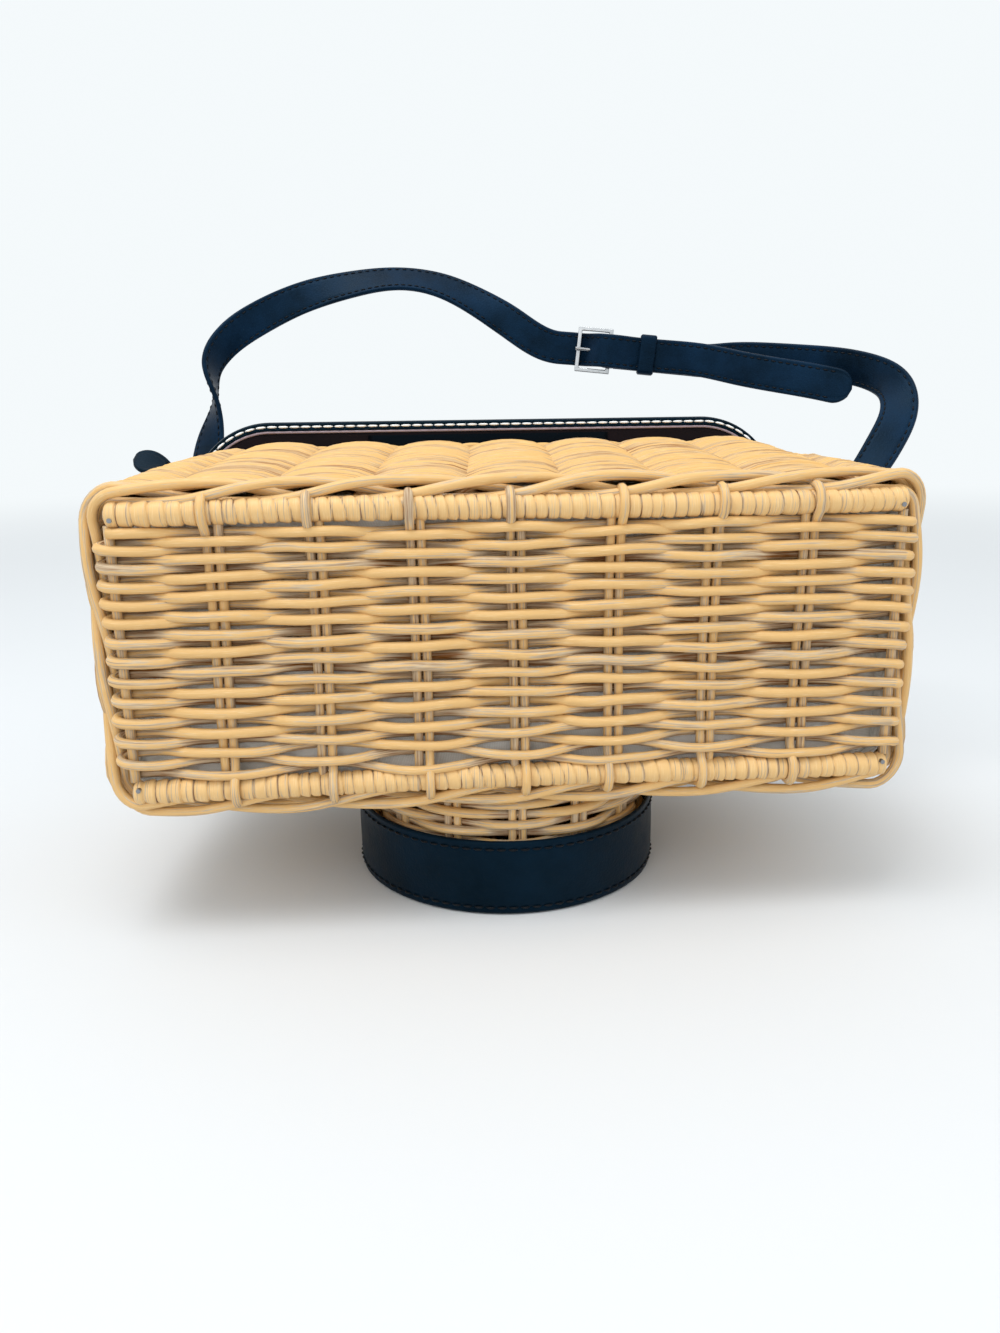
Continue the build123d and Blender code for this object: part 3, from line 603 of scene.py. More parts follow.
class BAG_OT_base_weave(bpy.types.Operator):
    """Base weavers: one length of rattan that goes over and under and turns back round the posts"""
    bl_idname = "bag.base_weave"
    bl_label = "Base weave"

    def execute(self, context):
        sizes = context.scene.bag_sizes
        rng = np.random.default_rng(4)
        rows = sizes.weaver_rows
        radius, pitch = sizes.weaver_radius * 1000, sizes.stake_pitch * 1000
        post_x, middle = 133.0, BASE_MIDDLE
        swing = 2.95                     # how far a row stands off to each side of the stakes
        loop = 3.3                       # reach of the turn round a post
        pull = 0.75                      # how far two joined rows are drawn together
        lower_rows, turn_points = 7, 9   # rows that sag more, and points on a turn
        level = weave_rows(rows) + rng.normal(0, 0.14, rows)
        # over and under: a cosine of the stakes passed, its crests a little flattened
        step = np.linspace(0, 1, 105)
        x = (2 * step - 1) * post_x
        stakes = np.array([-post_x] + [(k - STAKE_PAIRS // 2) * pitch for k in range(STAKE_PAIRS)] + [post_x])
        passed = np.interp(x, stakes, np.arange(STAKE_PAIRS + 2.0))
        swell = np.cos(math.pi * passed)
        swell = swell * (1.25 - 0.25 * swell ** 2)
        number = np.arange(rows)[:, None]
        side = np.where(number % 2 == 0, 1.0, -1.0)
        low = np.clip((lower_rows - number) / lower_rows, 0, 1)
        sag = -0.55 + 1.15 * low * rng.uniform(0.5, 1.25, (rows, 1)) + 0.3 * rng.random((rows, 1))
        drift = sum(a * np.sin(FULL_TURN * (k * step[None, :] + rng.random((rows, 1))))
                    for k, a in ((1, 0.30), (2.4, 0.28), (5.1, 0.22), (8.3, 0.20), (12.7, 0.10)))
        taper = np.sin(math.pi * step) ** 0.5
        up = level[:, None] + side * sag * swell[None, :] * taper + drift * taper
        # rows that turn into each other are drawn together at that end, and open a gap to the next pair
        up = up + pull * side * (np.exp((x - post_x) / 9.0) - np.exp((-x - post_x) / 9.0))[None, :]
        depth = middle + side * swing * swell[None, :] * (1 - 0.06 * drift)
        run = np.stack([x[None, :] + np.zeros((rows, 1)), depth, up], -1)
        run[1::2] = run[1::2, ::-1]
        # half loops round the posts, from one row's end to the next row's start
        turn = np.linspace(0, math.pi, turn_points + 2)[1:-1]
        right = np.where(number[:-1] % 2 == 0, 1.0, -1.0)
        # every run leaves a post on the side opposite to where it comes back
        share = turn / math.pi
        bulge = loop + rng.uniform(-0.5, 0.8, (rows - 1, 1))
        widen = swing / loop + (1 - swing / loop) * np.sin(turn)
        loops = np.stack([right * (post_x + bulge * np.sin(turn)),
                          middle + side[:-1] * loop * np.cos(turn) * widen,
                          (level[:-1, None] + pull) * (1 - share) + (level[1:, None] - pull) * share], -1)
        pieces = np.concatenate([run[:-1], loops], 1).reshape(-1, 3)
        path = np.concatenate([pieces, run[-1]])[None]
        row_points = run.shape[1] + turn_points
        tones_and_shade = np.repeat(rng.uniform(0.3, 1.0, rows), row_points)[:path.shape[1]]
        # painted shade: the stretches of each row that lie behind the stakes are drawn darker
        tones_and_shade = tones_and_shade - 0.5 * np.clip((path[0, :, 1] - middle + 0.8) / swing, 0, 1)
        thick = radius * (1 + 0.07 * np.repeat(rng.uniform(-1, 1, rows), row_points)[:path.shape[1]])
        weave = rods(path, thick[None], (0, 0, 1), sides=9, tone_and_shade=tones_and_shade[None])
        up = np.linspace(-44, 44, 12)
        posts = [np.stack([np.full(12, place * post_x), np.full(12, middle), up], -1) for place in (-1, 1)]
        core = rods(np.array(posts), 1.75, (1, 0, 0), sides=8, tone_and_shade=np.array([0.35, 0.3]))
        build("base_weavers", weave, made("peeled_rattan_core"), "basket",
              ("base_weave", "base_post_left", "base_post_right"))
        build("base_post_cores", core, made("peeled_rattan_core"), "basket")
        return {"FINISHED"}


class BAG_OT_base_stakes(bpy.types.Operator):
    """Stake pairs of the base: one of each pair runs on over the frame rods"""
    bl_idname = "bag.base_stakes"
    bl_label = "Base stakes"

    def execute(self, context):
        rng = np.random.default_rng(9)
        pitch = context.scene.bag_sizes.stake_pitch * 1000
        over = np.array([(52.9, 8.0), (53.0, 5.2), (52.6, 2.8), (50.8, 0.5),
                         (48.0, -0.5), (45.2, 0.1), (42.4, 2.8), (39, 4.8)])
        tucked = np.array([(45.5, 6.5), (44.8, 5.8), (44.0, 5.2), (43.0, 5.0),
                           (42.0, 5.0), (41, 5.0), (40, 5.0), (38, 5.0)])
        inner = np.linspace(30, -30, 9)
        paths = []
        for k in range(STAKE_PAIRS):
            x = (k - STAKE_PAIRS // 2) * pitch
            for side in (-1, 1):
                top = over if (side < 0) == (k < 4) else tucked
                foot = over if (side > 0) == (k < 4) else tucked
                up = np.concatenate([top[:, 0], inner, -foot[::-1, 0]])
                depth = np.concatenate([top[:, 1], np.full(9, BASE_MIDDLE), foot[::-1, 1]])
                lean = rng.uniform(-0.5, 0.5) * np.linspace(-1, 1, len(up)) + 0.3 * np.sin(up / 17 + k)
                paths.append(np.stack([x + side * 1.85 + lean, depth, up], -1))
        # the stakes are drawn darker than the weavers: partly their browner colour, partly painted shade for
        # lying behind the weavers
        stakes = rods(np.array(paths), 1.62, (1, 0, 0), sides=9, tone_and_shade=rng.uniform(0.15, 0.5, len(paths)))
        build("base_stakes", stakes, made("peeled_rattan_core"), "basket",
              tuple(f"base_stakes_{k + 1}" for k in range(STAKE_PAIRS)))
        return {"FINISHED"}


class BAG_OT_base_rods(bpy.types.Operator):
    """Frame rods along the base's long edges, close-wound with flat cane"""
    bl_idname = "bag.base_rods"
    bl_label = "Whipped rods"

    def execute(self, context):
        width = context.scene.bag_sizes.whip_width * 1000
        half_length, rod_up, outer_radius = 134.2, 47.5, 4.2
        for name, side, seed in (("base_rod_back", 1, 3), ("base_rod_front", -1, 8)):
            rng = np.random.default_rng(seed)
            x = np.linspace(-half_length, half_length, 1250)
            turn = np.arange(20) / 20 * FULL_TURN
            # turns of cane passed at every place: even winding, with slow drift and a helix's slant
            slow = sum(a * np.sin(x / w + rng.uniform(0, 6))
                       for a, w in ((0.6, 26.0), (0.3, 11.3), (0.10, 5.7)))
            slant = 0.35 + 0.3 * np.sin(x / 31 + seed)
            passed = (x / width + slow)[:, None] + slant[:, None] * (np.cos(turn - 0.6))[None, :] * 0.5
            number, part = np.floor(passed), passed % 1.0
            shade = np.abs(np.sin(number * 12.9898 + seed) * 43758.5453) % 1.0
            tilt = (np.abs(np.sin(number * 7.13 + seed) * 9631.7) % 1.0) - 0.5
            across = 2 * part - 1                # from -1 to 1 over one turn of cane
            crest = 1 - np.abs(across) ** 7
            thick = 3.45 + 0.7 * crest + 0.1 * (1 - across ** 2) + (0.22 + 0.4 * tilt) * across * crest
            end = np.clip((half_length - np.abs(x)) / 2.2, 0, 1)
            thick = thick * np.sqrt(np.clip(1 - (1 - end) ** 2, 1e-4, 1))[:, None]
            bow = 0.5 * np.sin(x / 40 + seed)[:, None]
            depth = BASE_MIDDLE + thick * np.cos(turn)[None, :]
            up = side * rod_up + bow + thick * np.sin(turn)[None, :]
            grid = np.stack([x[:, None] + 0 * depth, depth, up], -1)
            along = (turn * outer_radius)[None, :] + 0 * depth
            uv = np.stack([along + 7 * number, x[:, None] + 0 * depth], -1)
            uv = np.concatenate([uv, uv[:, :1] + np.array([FULL_TURN * outer_radius, 0])], 1)
            # each turn of cane has its own random tone, and is drawn darker towards its edges as painted
            # shade in the groove beside the next turn
            shape = sheet(grid[:, ::-1], closed_columns=True,
                          tone_and_shade=(0.42 + 0.3 * shade - 0.75 * (1 - crest))[:, ::-1], uv=uv[:, ::-1])
            build(name + "_whipping", shape, made("split_rattan_cane"), "basket", (name,))
        return {"FINISHED"}


class BAG_OT_foot_wale(bpy.types.Operator):
    """Rope-twist ring of three rods round the base"""
    bl_idname = "bag.foot_wale"
    bl_label = "Foot wale"

    def execute(self, context):
        size, steps = (139.9, 53.7, 9.0), 420
        _, _, right, _ = outline(np.arange(steps) / steps, *size)
        # at the two short sides the ring climbs and lies flatter
        height, spread = 8.0 + 3.6 * np.abs(right), 3.1 - 0.9 * np.abs(right)
        ring = twisted_ring(size, height, 3, 7, spread, 3.3, 1.8, steps, 5, sides=9)
        build("foot_wale", ring, made("peeled_rattan_core"), "basket", ("upset_wale",))
        return {"FINISHED"}


# ---- wall -------------------------------------------------------------------------------------------------
class BAG_OT_wall(bpy.types.Operator):
    """Wall of fine weavers: each row swells out over a stake and dives under the next swelling"""
    bl_idname = "bag.wall"
    bl_label = "Wall"

    def execute(self, context):
        sizes = context.scene.bag_sizes
        rng = np.random.default_rng(21)
        rows, lobes, swell = sizes.wall_rows, sizes.lobes, sizes.lobe_swell * 1000
        radius = 1.42
        t = np.linspace(-0.2, 1.16, 11)[None, None, :]
        row = np.arange(rows)[:, None, None]
        lobe = np.arange(lobes)[None, :, None]
        spacing = (WALL_END - WALL_START) / (rows - 1)
        jitter = rng.normal(0, 1, (rows, lobes, 1))
        # one rod over one stake: a parabola out, starting just under the rod before and ending well under
        # the next
        start = np.clip((t + 0.2) / 0.2, 0, 1)
        end = np.clip((t - 0.80) / 0.3, 0, 1)
        out = (-swell * ((t - 0.42) / 0.62) ** 2 * 0.62 - 1.9 * (1 - start * start * (3 - 2 * start))
               - 2.9 * end * end * (3 - 2 * end)) - radius + 0.9 + 0.2 * jitter
        height = WALL_START + spacing * (row + 1.15 * (t - 0.42)) + 0.16 * jitter
        height = np.clip(height, 12.2, 133.6)
        out = np.maximum(out, -6.2 - 0.3 * start) - 1.8 * np.clip((height - 116) / 18, 0, 1) ** 2
        lean = 0.24 * height / 134.0
        share = (lobe + t - 0.42 + lean) / lobes
        half_width, half_depth, corner = wall_size(height)
        x, z, right, up = outline(share, half_width, half_depth, corner)
        path = np.stack([x + right * out, height + 0 * x, z + up * out], -1)
        # each rod has its own random tone, and is drawn darker as painted shade where it dives under the next
        # swelling and where it comes out from under the one before
        tone_and_shade = (0.5 + 0.2 * rng.normal(0, 1, (rows, 1, 1)) + 0.14 * rng.normal(0, 1, (rows, lobes, 1))
                - 0.45 * end - 0.4 * (1 - start))
        paths = path.reshape(rows * lobes, -1, 3)
        shape = rods(paths, radius, (0, 1, 0), sides=6, tone_and_shade=np.clip(tone_and_shade, 0, 1).reshape(rows * lobes, -1))
        build("wall_weavers", shape, made("peeled_rattan_wall"), "basket", ("basket_wall",))
        return {"FINISHED"}


class BAG_OT_rim(bpy.types.Operator):
    """Plaited border on top of the wall"""
    bl_idname = "bag.rim"
    bl_label = "Rim border"

    def execute(self, context):
        half_width, half_depth, corner = WALL_TOP
        size = (half_width - 4.6, half_depth - 5.6, corner - 5.0)
        ring = twisted_ring(size, 137.0, 4, 23, 1.5, 1.3, 1.55, 690, 12, sides=6)
        build("rim_plait", ring, made("peeled_rattan_wall"), "basket", ("rim_border",))
        return {"FINISHED"}


class BAG_OT_lining(bpy.types.Operator):
    """Cotton bag inside the wall and over the base"""
    bl_idname = "bag.lining"
    bl_label = "Lining"

    def execute(self, context):
        share = np.arange(240) / 240
        height = np.linspace(WALL_START, 135.0, 40)[:, None]
        half_width, half_depth, corner = [value - 8.4 for value in wall_size(height)]
        x, z, right, up = outline(share[None, :], half_width, half_depth, corner)
        loose = np.sin(math.pi * (height - WALL_START) / 122.4)
        slack = (0.35 * np.sin(share * 60 * math.pi + height / 9)
                 + 0.5 * np.sin(share * 26 * math.pi - height / 15)) * loose
        inward = -0.4 - np.abs(slack)
        outer = np.stack([x + right * inward, height + 0 * x, z + up * inward], -1)
        inner = np.stack([x + right * (inward - 0.5), height + 0 * x, z + up * (inward - 0.5)], -1)
        shape = sheet(np.concatenate([outer, inner[::-1]])[:, ::-1], closed_rows=True, closed_columns=True)
        wall = build("wall_lining", shape, made("plain_woven_cotton"), "basket", ("lining",))
        # the floor piece: rounded outlines that shrink to the middle line, with a slight sag between stakes
        shrink = np.append(np.linspace(0, 47.5, 25), [47.9, 47.97])[:, None]
        x, z, right, up = outline(share[None, :], 135.4 - shrink, 48.0 - shrink, np.maximum(8 - shrink, 0.05))
        sag = 0.35 * np.cos(x / 33.4 * math.pi) * np.cos(z / 20)
        turn_up = np.clip((np.abs(x) - 121) / 14, 0, 1)
        sag = sag + 8.0 * turn_up * turn_up * (3 - 2 * turn_up)
        low = np.stack([x, 10.9 + sag, z], -1)
        high = np.stack([x, 11.5 + sag, z], -1)
        shape = sheet(np.concatenate([low[::-1], high]), closed_rows=True, closed_columns=True)
        floor = build("floor_lining", shape, made("plain_woven_cotton"), "basket")
        return {"FINISHED"}


# ---- barrel -----------------------------------------------------------------------------------------------
class BAG_OT_barrel(bpy.types.Operator):
    """Barrel of coarse weavers round paired stakes, with a round woven end"""
    bl_idname = "bag.barrel"
    bl_label = "Barrel"

    def execute(self, context):
        rng = np.random.default_rng(33)
        centre_height, floor_up, pairs = -BASE_Y * 1000, -MIDDLE_Z * 1000, 14
        middle_radius, row_count = 54.4, 16
        turn = np.arange(224) / 224 * FULL_TURN
        rows = np.arange(row_count)[:, None]
        level = 5.2 + 3.55 * rows
        side = np.where(rows % 2 == 0, 1.0, -1.0)
        wave = np.cos(turn[None, :] * pairs / 2)
        wave = wave * (1.25 - 0.25 * wave ** 2)
        out = middle_radius + side * 1.9 * wave
        drift = sum(0.25 * np.sin(k * turn[None, :] + rng.uniform(0, 6, (row_count, 1))) for k in (2, 3, 5))
        beside = centre_height - out * np.cos(turn)
        # a row that meets the sloping front wall lies down inside the wall's thickness
        up = np.minimum(floor_up + level + drift + side * 0.35 * wave, 3.2 - wall_size(beside)[1])
        ring = np.stack([out * np.sin(turn), beside, up], -1)
        # each row has its own random tone, and is drawn darker as painted shade where it passes behind the
        # stakes
        weavers = rods(ring, 1.86, (0, 0, 1), sides=8, closed=True,
                       tone_and_shade=rng.uniform(0.2, 0.75, (row_count, 1)) - 0.45 * np.clip(-side * wave + 0.2, 0, 1))
        # stakes stand in pairs and run up behind the front wall
        angle = np.arange(pairs)[:, None] / pairs * FULL_TURN
        angle = np.concatenate([angle - 0.035, angle + 0.035])
        climb, start = np.linspace(0, 1, 8), 2.5
        beside = centre_height - middle_radius * np.cos(angle) + 0 * climb
        posts = np.stack([middle_radius * np.sin(angle) + 0 * climb, beside,
                          floor_up + climb * (2.8 - wall_size(beside)[1] - floor_up - start) + start], -1)
        stakes = rods(posts, 1.6, (1, 0, 0), sides=7, tone_and_shade=rng.uniform(0.1, 0.5, 2 * pairs))
        # the end: one long spiral that goes over and under sixteen spokes
        walk = np.linspace(0, 1, 1500)
        out = 3.5 + 50.5 * walk ** 0.5
        turns = FULL_TURN * 15.5 * walk ** 0.5
        depth = floor_up + 3.9 + 1.5 * np.cos(turns * 8.5)
        spiral = np.stack([out * np.sin(turns), centre_height - out * np.cos(turns), depth], -1)[None]
        end = rods(spiral, 1.62, (0, 0, 1), sides=7, tone_and_shade=0.5 + 0.3 * np.sin(turns / 5)[None])
        spoke = np.arange(17) / 17 * FULL_TURN
        reach = np.linspace(1.0, 55.0, 6)[None, :]
        spokes = np.stack([reach * np.sin(spoke)[:, None], centre_height - reach * np.cos(spoke)[:, None],
                           floor_up + 4.0 + 0 * reach * spoke[:, None]], -1)
        rays = rods(spokes, 1.2, (0, 0, 1), sides=6, tone_and_shade=0.3)
        build("barrel_weave", join(weavers, stakes, end, rays), made("peeled_rattan_core"),
              "basket", ("front_barrel",))
        return {"FINISHED"}


def ring_round_barrel(profile, steps):
    """A closed profile of (distance from the axis, height off the floor) carried round the barrel's axis."""
    turn = np.arange(steps) / steps * FULL_TURN
    lift = 0.22 * np.sin(3 * turn + 0.8)[:, None] * (profile[None, :, 1] / 29.4)
    out = profile[None, :, 0] + lift
    return np.stack([out * np.sin(turn)[:, None], -BASE_Y * 1000 - out * np.cos(turn)[:, None],
                     -MIDDLE_Z * 1000 + profile[None, :, 1] + 0 * out], -1), turn


class BAG_OT_barrel_band(bpy.types.Operator):
    """Leather band round the barrel, with a stitched line along both edges"""
    bl_idname = "bag.barrel_band"
    bl_label = "Barrel band"

    def execute(self, context):
        up = np.linspace(0, 1, 41)
        height = 0.15 + 29.1 * (0.5 - 0.5 * np.cos(math.pi * up)) * 0.35 + 29.1 * up * 0.65
        edge = np.clip(1 - np.minimum(height - 0.15, 29.25 - height) / 1.0, 0, 1)
        bulge = 0.35 * np.sin(math.pi * (height / 29.4)) ** 0.7
        groove = 0.32 * (np.exp(-((height - 3.0) / 0.55) ** 2) + np.exp(-((height - 26.2) / 0.55) ** 2))
        outer = 60.9 + bulge - groove - 0.9 * (1 - np.sqrt(np.clip(1 - edge ** 2, 0, 1)))
        inner = 59.4 + 0.4 * (1 - np.sqrt(np.clip(1 - edge ** 2, 0, 1)))
        profile = np.concatenate([np.stack([outer, height], -1), np.stack([inner, height], -1)[::-1]])
        grid, turn = ring_round_barrel(profile, 260)
        band = sheet(grid[:, ::-1], closed_rows=True, closed_columns=True)
        build("barrel_band_leather", band, made("pigmented_navy_leather"), "basket",
              ("barrel_band",))
        lines = []
        for level in (3.0, 26.2):
            count = 88
            angle = (np.arange(count) + 0.5) / count * FULL_TURN
            out = 60.9 + 0.3 - 0.35 + 0.22 * np.sin(3 * angle + 0.8) * level / 29.4
            face = np.stack([np.sin(angle), -np.cos(angle), 0 * angle], -1)
            along = np.stack([np.cos(angle), np.sin(angle), 0 * angle], -1)
            place = face * out[:, None] + np.array([0, -BASE_Y * 1000, -MIDDLE_Z * 1000 + level])
            lines.append(stitches(place, along, face, 3.3, 0.42))
        build("barrel_band_stitches", join(*lines), made("navy_polyester_thread"), "basket")
        return {"FINISHED"}


# ---- lid --------------------------------------------------------------------------------------------------
LID = (137.0, 75.0, 38.0)
LID_UNDER, LID_TOP, LID_BORDER = 141.6, 147.0, 4.1


def lid_point(share, inset, height):
    """A point on the lid's outline, moved in by an inset."""
    inset = np.asarray(inset, float)
    x, z, right, up = outline(share, LID[0] - inset, LID[1] - inset, np.maximum(LID[2] - inset, 0.01))
    return np.stack([x, height + 0 * x, z], -1), np.stack([right, 0 * right, up], -1)


class BAG_OT_lid(bpy.types.Operator):
    """Lid leather: a softly crowned top turned round a board and under it as a border, sewn in white"""
    bl_idname = "bag.lid"
    bl_label = "Lid"

    def execute(self, context):
        sizes = context.scene.bag_sizes
        share = (np.arange(480) / 480)[None, :]
        # the section: under border from its inner edge out, round the edge as a half ellipse, and over the
        # top to the middle
        under = [(LID_BORDER, LID_UNDER + 1.1), (LID_BORDER, LID_UNDER + 0.3), (LID_BORDER - 0.3, LID_UNDER),
                 (3.4, LID_UNDER - 0.05), (2.6, LID_UNDER - 0.02), (2.1, LID_UNDER + 0.16),
                 (1.6, LID_UNDER + 0.02), (1.0, LID_UNDER + 0.05)]
        angle = np.linspace(-60, 60, 9) * math.pi / 180
        half = (LID_TOP - LID_UNDER) / 2
        edge = [(1.55 - 1.55 * math.cos(a) ** 0.8, LID_UNDER + half
                 + half * math.sin(a) / math.sin(math.pi / 3)) for a in angle]
        inset = np.array([1.3, 2.2, 3.2, 3.8, 4.4, 5.4, 7, 10, 14, 20, 27, 35, 44, 54, 64, 71, 74, 74.98])
        crown = (LID_TOP + 0.1 + 1.5 * (1 - np.clip(1 - inset / 40, 0, 1) ** 2)
                 - 0.22 * np.exp(-((inset - 3.8) / 0.6) ** 2))
        section = np.array(under + edge + list(zip(inset, crown)))
        grid, _ = lid_point(share, section[:, :1], section[:, 1:])
        shell = sheet(grid[:, ::-1], closed_columns=True)
        build("lid_leather", shell, made("pigmented_navy_leather"), "lid", ("lid_panel",))
        lines = []
        length = 4 * (LID[0] + LID[1]) - 8 * LID[2] + FULL_TURN * LID[2]
        count = int(round(length / (sizes.stitch_pitch * 1000)))
        at = (np.arange(count) + 0.5) / count
        for inset, height, facing in ((2.1, LID_UNDER + 0.12, -1.0), (3.8, LID_TOP + 0.02, 1.0)):
            place, _ = lid_point(at, inset, height)
            ahead, _ = lid_point(at + 0.0005, inset, height)
            face = np.broadcast_to(np.array([0, facing, 0]), place.shape)
            lines.append(stitches(place, unit(ahead - place), face, sizes.stitch_pitch * 860, 0.52))
        build("lid_stitches", join(*lines), made("white_polyester_thread"), "lid")
        around = np.arange(360) / 360
        place, _ = lid_point(around, LID_BORDER + 0.4, LID_UNDER + 0.15)
        piping = rods(place[None], 0.55, (0, 1, 0), sides=7, closed=True)
        build("lid_piping", piping, made("lilac_piping_cord"), "lid")
        return {"FINISHED"}


class BAG_OT_lid_lining(bpy.types.Operator):
    """Dark cloth under the lid, with its edge tucked behind the piping"""
    bl_idname = "bag.lid_lining"
    bl_label = "Lid lining"

    def execute(self, context):
        share = (np.arange(240) / 240)[None, :]
        inset = np.concatenate([np.linspace(0, 12, 7), np.linspace(18, 70.0, 14), [70.3, 70.37]])
        inset = (LID_BORDER + 0.5 + inset)[:, None]
        belly = -0.25 * np.sin(np.clip((inset - 5) / 30, 0, 1) * math.pi / 2)
        low, _ = lid_point(share, inset, LID_UNDER + 0.25 + belly)
        high, _ = lid_point(share, inset, LID_UNDER + 0.75 + belly)
        shape = sheet(np.concatenate([low[::-1], high]), closed_rows=True, closed_columns=True)
        piece = build("lid_cloth", shape, made("black_woven_lining"), "lid", ("lid_lining",))
        return {"FINISHED"}


class BAG_OT_hinge(bpy.types.Operator):
    """Leather hinge inside the back of the rim"""
    bl_idname = "bag.hinge"
    bl_label = "Hinge strip"

    def execute(self, context):
        low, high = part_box("hinge_strip")
        foot = (low.y - BASE_Y) * 1000
        inner = (low.z - MIDDLE_Z) * 1000
        rows = [(0, foot, inner + 0.6, 1, 0, 0), (0, foot + 9, inner + 0.6, 1, 0, 0),
                (0, 138.6, inner + 0.8, 1, 0, 0), (0, 140.6, inner + 2.4, 1, 0, 0),
                (0, 141.0, inner + 5.5, 1, 0, 0), (0, 141.0, inner + 10.0, 1, 0, 0)]
        frames = strip_frames(np.array(rows, float), 40)
        leaf = build("hinge_leather", strip(frames, 110.0, 1.0, soft=0.6), made("inner_hinge_leather"),
                     replaces=("hinge_strip",))
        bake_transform(leaf)
        return {"FINISHED"}


# ---- strap ------------------------------------------------------------------------------------------------
ALONG = unit(np.array([0.979, -0.171, -0.110]))
FRONT = unit(np.array([0.0, -1.0, 0.0]) - ALONG * np.dot([0.0, -1.0, 0.0], ALONG))
ACROSS = np.cross(FRONT, ALONG)
BUCKLE = np.array([65.3, 242.5, 110.6])
HEEL = 8.5                          # half the buckle's length
STRAP_THICK = 2.6
PIVOT_X = 139.9
LONG_ROUTE = [
    (-141.0, 152, 17, 0.00, 0.42, -0.90), (-143.5, 184, 30, -0.35, 0.35, -0.85),
    (-146.5, 214, 40, -0.75, 0.30, -0.55), (-148.0, 236, 53, -0.97, 0.20, -0.20),
    (-146.2, 247, 69, -0.80, 0.60, 0.10), (-143.5, 251, 88, -0.20, 1.00, 0.00),
    (-144.5, 254, 104, 0.35, 0.90, -0.25), (-136.0, 258, 118, 0.65, 0.55, -0.55),
    (-119.0, 262, 130, 0.60, 0.12, -0.75), (-95.0, 265, 141, 0.45, -0.25, -0.87),
    (-68.0, 266, 148, 0.30, -0.60, -0.85), (-41.0, 266, 151, 0.05, -0.80, -0.80),
    (-17.0, 264, 147, -0.30, -0.70, -0.80), (4.0, 260, 137, -0.45, -0.40, -0.85),
    (21.0, 255, 126, -0.40, 0.00, -0.90)]
TAIL_ROUTE = [(138.0, 216, 99.5, -0.10, 0, -1), (156.0, 203, 95, -0.15, 0, -1),
              (173.0, 191, 91, -0.20, 0, -1), (187.0, 181, 87, -0.25, 0, -1)]
SHORT_ROUTE = [
    (137.0, 229, 104.5, 0.00, 0.00, -1.00), (153.0, 222, 104, 0.00, 0.00, -1.00),
    (170.0, 210, 102, 0.00, 0.05, -1.00), (187.0, 194, 99, 0.00, 0.15, -1.00),
    (198.0, 178, 94, -0.25, 0.30, -0.90), (202.0, 165, 87, -0.70, 0.30, -0.60),
    (200.0, 155, 76, -0.90, 0.30, -0.20), (192.0, 148, 63, -0.88, 0.40, 0.10),
    (181.0, 142, 49, -0.75, 0.60, 0.10), (168.0, 136, 36, -0.50, 0.80, 0.05),
    (154.0, 129, 23, -0.20, 0.95, -0.10)]


def at_buckle(along, front):
    """A place beside the buckle's middle, along the strap and out in front of it."""
    return BUCKLE + ALONG * along + FRONT * front


def strap_row(place, across):
    """A row for strip_frames from a place and a direction across."""
    return tuple(place) + tuple(across)


class BAG_OT_strap_long(bpy.types.Operator):
    """Holed strap from the left pivot, over to the buckle and on to its tip"""
    bl_idname = "bag.strap_long"
    bl_label = "Long strap"

    def execute(self, context):
        width = context.scene.bag_sizes.strap_width * 1000
        lean = np.array([0, 0.89, 0.456])
        side = (0, lean[2], -lean[1])
        pivot = np.array([-PIVOT_X, PIVOT_HEIGHT, 0.0])
        rows = [strap_row(pivot - lean * 9, side), strap_row(pivot + lean * 14, side)] + LONG_ROUTE
        step, top = STRAP_THICK / 2 + 1.5, 6.1
        near = ((-HEEL - 14, -step * 0.7), (-HEEL - 3.2, -step), (-HEEL + 2.2, -step),
                (HEEL - 5.6, top * 0.86), (HEEL, top + 0.2), (HEEL + 5.4, top - 0.4),
                (HEEL + 12, 3.1), (HEEL + 28, 2.9), (HEEL + 49, 2.9))
        rows += [strap_row(at_buckle(*place), -ACROSS) for place in near] + TAIL_ROUTE
        frames = strip_frames(np.array(rows, float), 520)
        body = strip(frames, width, STRAP_THICK, tip=9.0, groove=0.24)
        build("strap_long_leather", body, made("navy_leather_painted_lit"), "strap",
              ("strap_long",))
        sewn = strip_stitches(frames, width, STRAP_THICK, 3.9, 14.0, 10.0)
        build("strap_long_stitches", sewn, made("navy_polyester_thread"), "strap")
        holes = []
        for number in (1, 2):
            for facing in (1.0, -1.0):
                middle = at_buckle(30.0 * number, 2.9 + facing * (STRAP_THICK / 2 + 0.02))
                turn = np.arange(20) / 20 * FULL_TURN
                rings = [(1.75, 0.0), (1.75, 0.06), (0.9, 0.04), (0.02, 0.02)]
                ring = np.cos(turn)[:, None] * ALONG + facing * np.sin(turn)[:, None] * ACROSS
                grid = np.stack([middle + FRONT * facing * lift + out * ring for out, lift in rings])
                holes.append(sheet(grid[:, ::-1], closed_columns=True))
        # no hole is cut: each hole is a dark disc on the strap face, its colour partly the cut edge and
        # partly painted shade for the depth of the hole
        build("strap_holes", join(*holes), made("hole_edge_and_shade_leather"), "strap")
        return {"FINISHED"}


